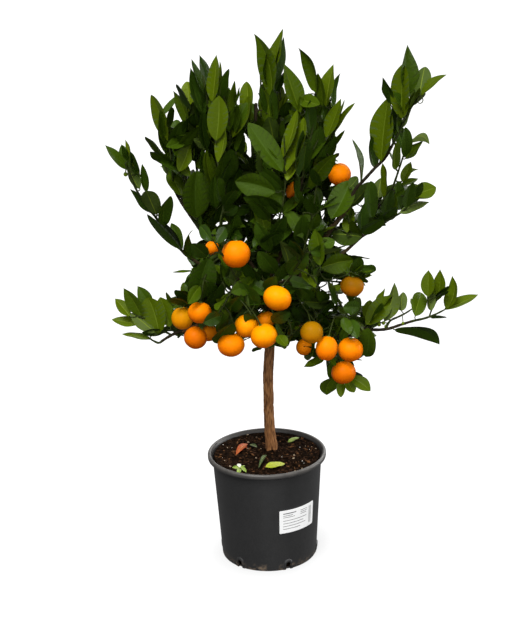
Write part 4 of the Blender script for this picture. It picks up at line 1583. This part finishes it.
rim_z0, rim_z1 = NECK_Z, POT_H
profile = [(0, 0), (20, 0), (50, 0), (BASE_R - 2.4, 0)]
profile += arc(BASE_R - 1.3, 1.4, 1.4, -80, -4, 6)
profile += [(wall_radius(z), z) for z in np.linspace(4, NECK_Z - 3.0, 26)]
profile += [(NECK_R - 0.1, NECK_Z - 1.2), (NECK_R + 0.5, NECK_Z - 0.35), (NECK_R + 1.6, NECK_Z), (RIM_R - 2.0, NECK_Z + 0.05)]
profile += arc(RIM_R - 1.7, NECK_Z + 1.8, 1.7, -80, 0, 5)
profile += arc(RIM_R - 2.3, POT_H - 2.3, 2.3, 8, 90, 8)
profile += arc(MOUTH_R + 1.6, POT_H - 1.5, 1.5, 95, 175, 6)
profile += [(MOUTH_R - 0.3, POT_H - 3.2), (wall_radius(NECK_Z) - WALL + 0.4, NECK_Z - 0.4)]
profile += [(wall_radius(z) - WALL, z) for z in np.linspace(NECK_Z - 3, FLOOR + 3, 12)]
profile += [(wall_radius(FLOOR) - WALL - 1.2, FLOOR), (50, FLOOR), (0, FLOOR)]
pot_soup, _, _ = lathe(profile, 180, "pot_shell", None)

NOTCH_AT = [-128 + 60 * n for n in range(6)]


def arch_points(half, high, foot=0.0, n=14, flare=0.0):
    """Half arch outline in (across, up), from the left foot over the top to the right foot."""
    pts = [(-half - flare, foot), (-half - flare * 0.35, foot + 2.2), (-half, foot + 4.5)]
    pts += [(half * math.cos(a), high - half + half * math.sin(a)) for a in np.linspace(math.pi, 0, n)]
    pts += [(half, foot + 4.5), (half + flare * 0.35, foot + 2.2), (half + flare, foot)]
    return pts


def pot_point(angle, x, z, out):
    r = wall_radius(z) + out
    a = math.radians(angle) + x / r
    return np.array([r * math.cos(a), r * math.sin(a), z])


# raised frame round each notch, a band that follows the arch
for angle in NOTCH_AT:
    inner, outer = arch_points(3.25, 11.6, 0.05), arch_points(6.2, 16.2, 0.05, flare=1.0)
    rings = []
    for (xi, zi), (xo, zo) in zip(inner, outer):
        mx, mz = xi * 0.35 + xo * 0.65, zi * 0.35 + zo * 0.65
        k = float(np.clip((zo - 0.3) / 4.5, 0.08, 1.0))
        rings.append([pot_point(angle, xi, zi, -0.6), pot_point(angle, xi, zi, 1.0 * k), pot_point(angle, xi * 0.66 + xo * 0.34, zi * 0.66 + zo * 0.34, 1.4 * k),
                      pot_point(angle, mx, mz, 1.15 * k), pot_point(angle, xo, zo, 0.02), pot_point(angle, xo, zo, -0.6)])
    v = np.array(rings).reshape(-1, 3)
    n, m = len(rings), 6
    quads = []
    for i in range(n - 1):
        for j in range(m):
            k = (j + 1) % m
            quads.append((i * m + j, i * m + k, (i + 1) * m + k, (i + 1) * m + j))
    faces = quads + [(0, 5, 4, 3), (0, 3, 2, 1)] + [((n - 1) * m + a, (n - 1) * m + b, (n - 1) * m + c, (n - 1) * m + d) for a, b, c, d in ((0, 1, 2, 3), (0, 3, 4, 5))]
    pot_soup.add(v, faces, 0)


def pot_material():
    n = Nodes("pot_plastic", 0.40, 0.50)
    fine = n.noise(n.coords(), 420, 4.0)
    big = n.noise(n.coords((1, 1, 0.6)), 22, 3.0)
    base = n.ramp(fine, [(0.25, srgb(14, 14, 14)), (0.75, srgb(27, 27, 27))])
    base = n.mix(n.grey(0.0, 0.32, big), base, srgb(45, 45, 46))
    sep = n.new("ShaderNodeSeparateXYZ")
    n.link(n.coords(), sep.inputs[0])
    low = n.new("ShaderNodeMapRange")
    low.inputs["From Min"].default_value = 0.012
    low.inputs["From Max"].default_value = 0.0
    n.link(sep.outputs["Z"], low.inputs["Value"])
    dust = n.noise(n.coords((1, 1, 2.0)), 130, 5.0, 0.7)
    mask = n.new("ShaderNodeMath", operation="MULTIPLY")
    n.link(low.outputs["Result"], mask.inputs[0])
    spot = n.new("ShaderNodeMapRange")
    spot.inputs["From Min"].default_value = 0.5
    spot.inputs["From Max"].default_value = 0.68
    n.link(dust, spot.inputs["Value"])
    n.link(spot.outputs["Result"], mask.inputs[1])
    base = n.mix(mask.outputs[0], base, srgb(122, 104, 84))
    # rim: rubbed lighter along its top edge
    high = n.new("ShaderNodeMapRange")
    high.inputs["From Min"].default_value = 0.1435
    high.inputs["From Max"].default_value = 0.1500
    n.link(sep.outputs["Z"], high.inputs["Value"])
    rub = n.new("ShaderNodeMath", operation="MULTIPLY")
    n.link(high.outputs["Result"], rub.inputs[0])
    n.link(n.noise(n.coords(), 60, 4.0, 0.6), rub.inputs[1])
    base = n.mix(rub.outputs[0], base, srgb(88, 84, 79))
    n.base(base)
    n.rough(n.grey(0.36, 0.56, n.noise(n.coords(), 90, 4.0)))
    n.normal(n.bump(n.noise(n.coords(), 1500, 2.0), 0.10, 0.0004, n.bump(big, 0.10, 0.003)))
    return n.mat


pot_mat = pot_material()
pot_ob = pot_soup.object("pot_shell", [pot_mat], sharp=38)
# the notches, cut through wall and floor edge
cut_soup = Soup()
for angle in NOTCH_AT:
    shape = [(x, z) for x, z in arch_points(3.2, 11.5, -2.0)]
    n = len(shape)
    a = math.radians(angle)
    er, et = np.array([math.cos(a), math.sin(a), 0]), np.array([-math.sin(a), math.cos(a), 0])
    v = [er * (BASE_R - 2.6) + et * x + UPWARD * z for x, z in shape] + [er * (BASE_R + 6) + et * x + UPWARD * z for x, z in shape]
    mid0, mid1 = np.mean(v[:n], axis=0), np.mean(v[n:], axis=0)
    faces = [(j, (j + 1) % n, n + (j + 1) % n, n + j) for j in range(n)]
    faces += [(2 * n, (j + 1) % n, j, -1) for j in range(n)] + [(2 * n + 1, n + j, n + (j + 1) % n, -1) for j in range(n)]
    cut_soup.add(np.array(v + [mid0, mid1]), faces, 0)
cutter = cut_soup.object("notch_cutter", [pot_mat], sharp=None)
for ob in (cutter, pot_ob):
    bm = bmesh.new()
    bm.from_mesh(ob.data)
    bmesh.ops.recalc_face_normals(bm, faces=bm.faces)
    bm.to_mesh(ob.data)
    bm.free()
mod = pot_ob.modifiers.new("notches", "BOOLEAN")
mod.operation, mod.solver, mod.object = "DIFFERENCE", "EXACT", cutter
mod.use_self = True
bpy.context.view_layer.update()
done = bpy.data.meshes.new_from_object(pot_ob.evaluated_get(bpy.context.evaluated_depsgraph_get()))
pot_ob.modifiers.clear()
pot_ob.data = done
bpy.data.objects.remove(cutter)
pot_ob.data.shade_smooth()
pot_ob.data.set_sharp_from_angle(angle=math.radians(38))
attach(pot_ob, "root")
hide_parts("pot")

# ----------------------------------------------------------------------- soil

clod, crumb = Grain(51), Grain(52)


def soil_profile(x, y):
    """Its level, a little higher behind the trunk than at the watering space in front."""
    edge = wall_radius(139.5) - WALL - 0.5
    back = 0.5 + 0.5 * np.tanh((np.asarray(y) + 14.0) / 18.0)
    flank = np.clip((np.abs(np.asarray(x)) - 34.0) / 16.0, 0, 1)
    rise = np.maximum(back, flank)
    return np.interp(np.hypot(x, y), [0, 29, 50, edge], [145.4, 144.9, 142.4, 140.6]) + rise * np.interp(np.hypot(x, y), [0, 30, 55, edge], [1.0, 1.8, 4.2, 6.0])


def soil_lift(x, y):
    p = np.stack([x, y, np.zeros_like(x)], -1).reshape(-1, 3)
    v = 1.5 * clod(p / 13) + 1.5 * np.abs(clod(p / 5.5 + 9)) + 1.15 * crumb(p / 2.6) + 0.5 * crumb(p / 1.2 + 4)
    return v.reshape(x.shape)


soil = Soup()
edge_r = wall_radius(139.5) - WALL - 0.45
nr, na = 74, 220
rad = np.linspace(0, 1, nr + 1)[1:] ** 0.85 * edge_r
ang = np.arange(na) * 2 * math.pi / na
rr, aa = np.meshgrid(rad, ang, indexing="ij")
X, Y = rr * np.cos(aa), rr * np.sin(aa)
fade = np.clip((edge_r - rr) / 2.5, 0.0, 1)
Z = soil_profile(X, Y) + (soil_lift(X, Y) - 0.65) * (0.25 + 0.75 * fade)
# it banks up a little where the trunk stands
Z += 1.6 * np.exp(-(((X - FOOT[0]) ** 2 + (Y - FOOT[1]) ** 2) / 15.0 ** 2))
top = np.stack([X, Y, Z], -1).reshape(-1, 3)
centre = [0, 0, float(Z[0].mean())]
lowr = wall_radius(3) - WALL - 1.6
bottom = np.stack([lowr * np.cos(ang), lowr * np.sin(ang), np.full(na, FLOOR + GAP)], -1)
v = np.concatenate([top, bottom, [centre], [[0, 0, FLOOR + GAP]]])
i, j = np.meshgrid(np.arange(nr - 1), np.arange(na), indexing="ij")
k = (j + 1) % na
quads = np.stack([i * na + j, (i + 1) * na + j, (i + 1) * na + k, i * na + k], -1).reshape(-1, 4)
jj = np.arange(na)
kk = (jj + 1) % na
side = np.stack([(nr - 1) * na + jj, nr * na + jj, nr * na + kk, (nr - 1) * na + kk], -1)
c0 = np.stack([np.full(na, (nr + 1) * na), jj, kk, np.full(na, -1)], -1)
c1 = np.stack([np.full(na, (nr + 1) * na + 1), nr * na + kk, nr * na + jj, np.full(na, -1)], -1)
soil.add(v, np.concatenate([quads, side, c0, c1]), 0)


def soil_material():
    n = Nodes("potting_soil", 0.97, 0.02)
    f = n.noise(n.coords(), 190, 6.0, 0.7)
    g = n.noise(n.coords(), 70, 3.0)
    base = n.ramp(f, [(0.38, srgb(5, 3, 1)), (0.55, srgb(25, 16, 9)), (0.78, srgb(78, 53, 32))])
    n.base(n.mix(n.grey(0.0, 0.5, g), base, srgb(18, 10, 5)))
    n.normal(n.bump(f, 0.8, 0.0012))
    return n.mat


soil_ob = soil.object("soil_fill", [soil_material()], sharp=None)
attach(soil_ob, "root")
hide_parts("soil")


def soil_top(x, y):
    z = float(soil_profile(x, y)) + float(soil_lift(np.array([x]), np.array([y]))[0]) - 0.65
    return z + 1.6 * math.exp(-(((x - FOOT[0]) ** 2 + (y - FOOT[1]) ** 2) / 15.0 ** 2))


# bits of bark, fibre, grit and perlite on the soil
bits = Soup()
bit_rng = np.random.default_rng(SEED + 60)
for n in range(480):
    r, a = edge_r * math.sqrt(bit_rng.random()) * 0.985, bit_rng.uniform(0, 2 * math.pi)
    x, y = r * math.cos(a), r * math.sin(a)
    if math.hypot(x - FOOT[0], y - FOOT[1]) < 11:
        continue
    z = soil_top(x, y)
    kind = bit_rng.random()
    size = bit_rng.uniform(0.6, 1.8) if kind < 0.9 else bit_rng.uniform(1.2, 2.4)
    mat = 0 if kind < 0.66 else 1 if kind < 0.93 else 2 if kind < 0.97 else 3
    if mat == 3:
        size = bit_rng.uniform(0.5, 1.0)
    long = 1.0 if mat >= 2 else bit_rng.uniform(1.2, 3.2)
    turn = bit_rng.uniform(0, 6.28)
    u = np.array([math.cos(turn), math.sin(turn), bit_rng.uniform(-0.25, 0.35)])
    u = unit(u)
    w = square_to([0, 0, 1], u)
    s = np.cross(w, u)
    rings = 3
    vv = [np.array([x, y, z]) - u * size * long]
    for q in range(rings):
        tq = (q + 1) / (rings + 1)
        for b in range(5):
            ab = 2 * math.pi * (b + 0.5 * (q % 2)) / 5
            rad_b = size * math.sin(math.pi * tq) * bit_rng.uniform(0.7, 1.2)
            vv.append(np.array([x, y, z]) + u * size * long * (2 * tq - 1) + s * math.cos(ab) * rad_b + w * math.sin(ab) * rad_b * 0.6)
    vv.append(np.array([x, y, z]) + u * size * long)
    ff = []
    for b in range(5):
        c = (b + 1) % 5
        ff.append((0, 1 + c, 1 + b, -1))
        for q in range(rings - 1):
            ff.append((1 + q * 5 + b, 1 + q * 5 + c, 1 + (q + 1) * 5 + c, 1 + (q + 1) * 5 + b))
        ff.append((1 + rings * 5, 1 + (rings - 1) * 5 + b, 1 + (rings - 1) * 5 + c, -1))
    bits.add(np.array(vv), ff, mat)


def gritty(name, lo, hi, rough=0.9):
    n = Nodes(name, rough, 0.05)
    n.base(n.ramp(n.noise(n.coords(), 500, 4.0), [(0.3, lo), (0.7, hi)]))
    n.normal(n.bump(n.noise(n.coords(), 1800, 3.0), 0.5, 0.0004))
    return n.mat


bit_ob = bits.object("soil_bits", [gritty("peat_bit", srgb(30, 18, 11), srgb(58, 38, 24)), gritty("bark_bit", srgb(58, 36, 20), srgb(104, 70, 42)),
                                   gritty("grit_bit", srgb(120, 104, 84), srgb(168, 150, 126)), gritty("perlite_bit", srgb(196, 192, 182), srgb(226, 222, 214))], sharp=None)
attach(bit_ob, "root")

# fallen leaves and petals, each lying on the soil
fallen = Soup()


def lying(tx, ty, bx, by, width, tint, curl=0.5, fold=0.25, up=1.6, twist=0.2):
    a, b = at_height(tx, ty, 145), at_height(bx, by, 145)
    za = max(soil_top(a[0], a[1]), soil_top((a[0] + b[0]) / 2, (a[1] + b[1]) / 2) - 1) + up
    zb = soil_top(b[0], b[1]) + up
    a[2], b[2] = za, zb
    d = a - b
    L = float(np.linalg.norm(d))
    axis = unit(d)
    nrm = square_to([0.05, -0.15, 1.0], axis)
    lead = unit(axis * math.cos(curl * 0.4) + nrm * math.sin(curl * 0.4))
    leaf = Leaf(b, lead, nrm, L * 1.03, width, 0, fold=fold, curl=curl, twist=twist, wave=0.6, phase=0.3)
    first = len(fallen.m)
    leaf.put(fallen, FINE)
    kinds = FINE.kinds
    fallen.m[first] = np.array([tint, tint, 5, 5])[kinds]


def dry(name, lo, hi, rough):
    n = Nodes(name, rough, 0.25)
    n.base(n.ramp(n.noise(n.coords(), 260, 3.0), [(0.3, lo), (0.7, hi)]))
    n.normal(n.bump(n.noise(n.coords(), 900, 3.0), 0.3, 0.0004))
    return n.mat


fallen_mats = [dry("fallen_yellow_green", srgb(116, 130, 24), srgb(160, 166, 46), 0.45), dry("fallen_brown", srgb(126, 50, 20), srgb(176, 88, 40), 0.6),
               dry("fallen_pale_green", srgb(92, 118, 40), srgb(138, 156, 68), 0.5), dry("fallen_grey_green", srgb(42, 58, 30), srgb(68, 84, 44), 0.5),
               dry("petal_white", srgb(196, 198, 178), srgb(228, 228, 214), 0.5), dry("fallen_rib", srgb(138, 136, 60), srgb(174, 166, 92), 0.5)]
lying(284.5, 463.5, 265.5, 467.5, 16, 0, 0.3, 0.12)
lying(236, 455.5, 247.5, 446, 9, 1, 0.8, 0.5)
lying(247, 450, 240, 447.5, 6, 1, 0.6, 0.5, 2.2)
lying(299, 439, 288, 443.5, 8.5, 2, 0.4)
lying(258.5, 468, 267, 457, 5, 3, 1.2, 0.5)
lying(250, 446, 257, 449.5, 6, 3, 0.5)
lying(232.5, 469, 240, 468, 6.5, 2, 0.7, 0.3, 2.0)
lying(238, 474, 240, 468, 6, 2, 0.7, 0.3, 2.0)
lying(246, 471, 240, 467, 6.5, 2, 0.7, 0.3, 2.2)
lying(238, 464, 240.5, 468, 5, 4, 0.6, 0.3, 2.4)
lying(245, 466, 240, 468, 4.5, 2, 0.6, 0.3, 2.6)
fallen_ob = fallen.object("fallen_leaves", fallen_mats, sharp=60)
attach(fallen_ob, "root")

# ---------------------------------------------------------------------- label
# plain white paper with rounded corners and generic ruled lines

label, ink = Soup(), None
A0, A1, Z0, Z1 = math.radians(-78.5), math.radians(-33.0), 58.0, 92.5
mid_r = wall_radius(75.0)
half = (A1 - A0) * mid_r / 2
corner = 0.6


def on_label(x, z, out):
    """x runs along the wall from the label's middle."""
    r = wall_radius(z) + out
    a = (A0 + A1) / 2 + x / mid_r
    return np.array([r * math.cos(a), r * math.sin(a), z])


def sheet_strip(soup, x0, x1, z0, z1, base, top, mat, rounded=0.0, cols=None, rows=8):
    cols = cols or max(2, int((x1 - x0) / 1.5))
    xs = np.linspace(x0, x1, cols + 1)
    grid_top, grid_low = [], []
    for x in xs:
        d = min(x - x0, x1 - x)
        cut = rounded - math.sqrt(max(rounded ** 2 - (rounded - d) ** 2, 0)) if d < rounded else 0.0
        for k in range(rows + 1):
            z = (z0 + cut) + (z1 - z0 - 2 * cut) * k / rows
            grid_top.append(on_label(x, z, top))
            grid_low.append(on_label(x, z, base))
    n, m = cols + 1, rows + 1
    v = np.array(grid_top + grid_low)
    off = n * m
    f = []
    for i in range(cols):
        for j in range(rows):
            a, b, c, d = i * m + j, (i + 1) * m + j, (i + 1) * m + j + 1, i * m + j + 1
            f.append((a, b, c, d))
            f.append((off + a, off + d, off + c, off + b))
    for i in range(cols):
        a, b = i * m, (i + 1) * m
        f.append((a, off + a, off + b, b))
        a, b = i * m + rows, (i + 1) * m + rows
        f.append((a, b, off + b, off + a))
    for j in range(rows):
        a, b = j, j + 1
        f.append((a, b, off + b, off + a))
        a, b = cols * m + j, cols * m + j + 1
        f.append((a, off + a, off + b, b))
    soup.add(v, f, mat)


sheet_strip(label, -half, half, Z0, Z1, 0.45, 0.95, 0, rounded=corner, cols=44, rows=16)
for x0, x1, z, thick in [(-23, -4, 87.0, 1.1), (-23, -9, 84.0, 0.65), (-23, -6, 81.4, 0.65), (-23, 14, 76.4, 0.65), (-23, 8, 72.2, 0.65), (-23, 12, 68.0, 0.65),
                         (-23, 3, 63.8, 0.65), (3, 15, 87.0, 0.65), (3, 15, 84.4, 0.65), (3, 13, 81.8, 0.65)]:
    sheet_strip(label, x0, x1, z, z + thick, 0.90, 1.0, 1, rows=1)
for x in (18.6, 20.4, 22.2):
    sheet_strip(label, x, x + 0.6, 62.5, 88.0, 0.90, 1.0, 1, cols=1, rows=10)


def paper_material():
    n = Nodes("label_paper", 0.55, 0.3)
    f = n.noise(n.coords(), 900, 4.0)
    n.base(n.ramp(f, [(0.3, (0.69, 0.69, 0.69, 1)), (0.7, (0.75, 0.75, 0.75, 1))]))
    n.normal(n.bump(f, 0.15, 0.0002, n.bump(n.noise(n.coords(), 60, 2.0), 0.2, 0.0010)))
    return n.mat


label_ob = label.object("label_sheet", [paper_material(), gritty("ruled_ink", srgb(20, 20, 22), srgb(40, 40, 42), 0.6)], sharp=40)
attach(label_ob, "root")
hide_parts("label")

# ------------------------------------------------------------ stage and light

floor_me = bpy.data.meshes.new("floor")
S = 60.0
floor_me.from_pydata([(-S, -S, -0.0003), (S, -S, -0.0003), (S, S, -0.0003), (-S, S, -0.0003)], [], [(0, 1, 2, 3)])
floor = bpy.data.objects.new("floor", floor_me)
bpy.context.scene.collection.objects.link(floor)
fl = Nodes("floor_white", 0.9, 0.0, (0.10, 0.10, 0.10, 1))
fl.bsdf.inputs["Emission Color"].default_value = (1.0, 1.0, 1.0, 1.0)
away = fl.new("ShaderNodeVectorMath", operation="LENGTH")
fl.link(fl.coords(), away.inputs[0])
glow = fl.new("ShaderNodeMapRange")
glow.inputs["From Min"].default_value = 0.064
glow.inputs["From Max"].default_value = 0.125
glow.inputs["To Min"].default_value = 0.76
glow.inputs["To Max"].default_value = 1.02
fl.link(away.outputs["Value"], glow.inputs["Value"])
fl.link(glow.outputs["Result"], fl.bsdf.inputs["Emission Strength"])
floor_me.materials.append(fl.mat)
floor.visible_diffuse = False
floor.visible_glossy = False

world = bpy.data.worlds.new("studio")
bpy.context.scene.world = world
world.use_nodes = True
nt = world.node_tree
nt.nodes.clear()
out = nt.nodes.new("ShaderNodeOutputWorld")
see = nt.nodes.new("ShaderNodeBackground")
see.inputs["Color"].default_value = (1, 1, 1, 1)
see.inputs["Strength"].default_value = 1.0
lit = nt.nodes.new("ShaderNodeBackground")
tc = nt.nodes.new("ShaderNodeTexCoord")
sep = nt.nodes.new("ShaderNodeSeparateXYZ")
nt.links.new(tc.outputs["Generated"], sep.inputs[0])
ramp = nt.nodes.new("ShaderNodeMapRange")
ramp.inputs["From Min"].default_value = -1.0
ramp.inputs["From Max"].default_value = 1.0
ramp.inputs["To Min"].default_value = 0.09
ramp.inputs["To Max"].default_value = 0.70
nt.links.new(sep.outputs["Z"], ramp.inputs["Value"])
nt.links.new(ramp.outputs["Result"], lit.inputs["Strength"])
lp = nt.nodes.new("ShaderNodeLightPath")
mixs = nt.nodes.new("ShaderNodeMixShader")
nt.links.new(lp.outputs["Is Camera Ray"], mixs.inputs["Fac"])
nt.links.new(lit.outputs["Background"], mixs.inputs[1])
nt.links.new(see.outputs["Background"], mixs.inputs[2])
nt.links.new(mixs.outputs["Shader"], out.inputs["Surface"])


def sun(name, frm, strength, angle):
    light = bpy.data.lights.new(name, "SUN")
    light.energy = strength
    light.angle = math.radians(angle)
    ob = bpy.data.objects.new(name, light)
    z = unit(frm)
    x = square_to([1, 0, 0], z)
    y = np.cross(z, x)
    ob.matrix_world = Matrix(((x[0], y[0], z[0], 0), (x[1], y[1], z[1], 0), (x[2], y[2], z[2], 0), (0, 0, 0, 1)))
    bpy.context.scene.collection.objects.link(ob)
    return ob


sun("key", (-0.30, -0.66, 1.15), 3.75, 28)
sun("front", (0.08, -1.00, 0.34), 1.65, 75)
sun("fill", (0.95, -0.35, 0.45), 0.6, 50)
sun("side", (1.00, 0.25, 0.10), 1.9, 30)
sun("back", (0.45, 0.90, 0.62), 1.5, 45)

cam_data = bpy.data.cameras.new("camera")
cam_data.sensor_fit = "AUTO"
cam_data.sensor_width = 36.0
cam_data.lens = FOCAL * 36.0 / HIGH
cam_data.clip_start, cam_data.clip_end = 0.05, 200.0
cam = bpy.data.objects.new("camera", cam_data)
z = -FWD
cam.matrix_world = Matrix(((CAM_X[0], CAM_Y[0], z[0], EYE[0] * MM), (CAM_X[1], CAM_Y[1], z[1], EYE[1] * MM), (CAM_X[2], CAM_Y[2], z[2], EYE[2] * MM), (0, 0, 0, 1)))
bpy.context.scene.collection.objects.link(cam)
bpy.context.scene.camera = cam
bpy.context.scene.view_settings.view_transform = "Standard"
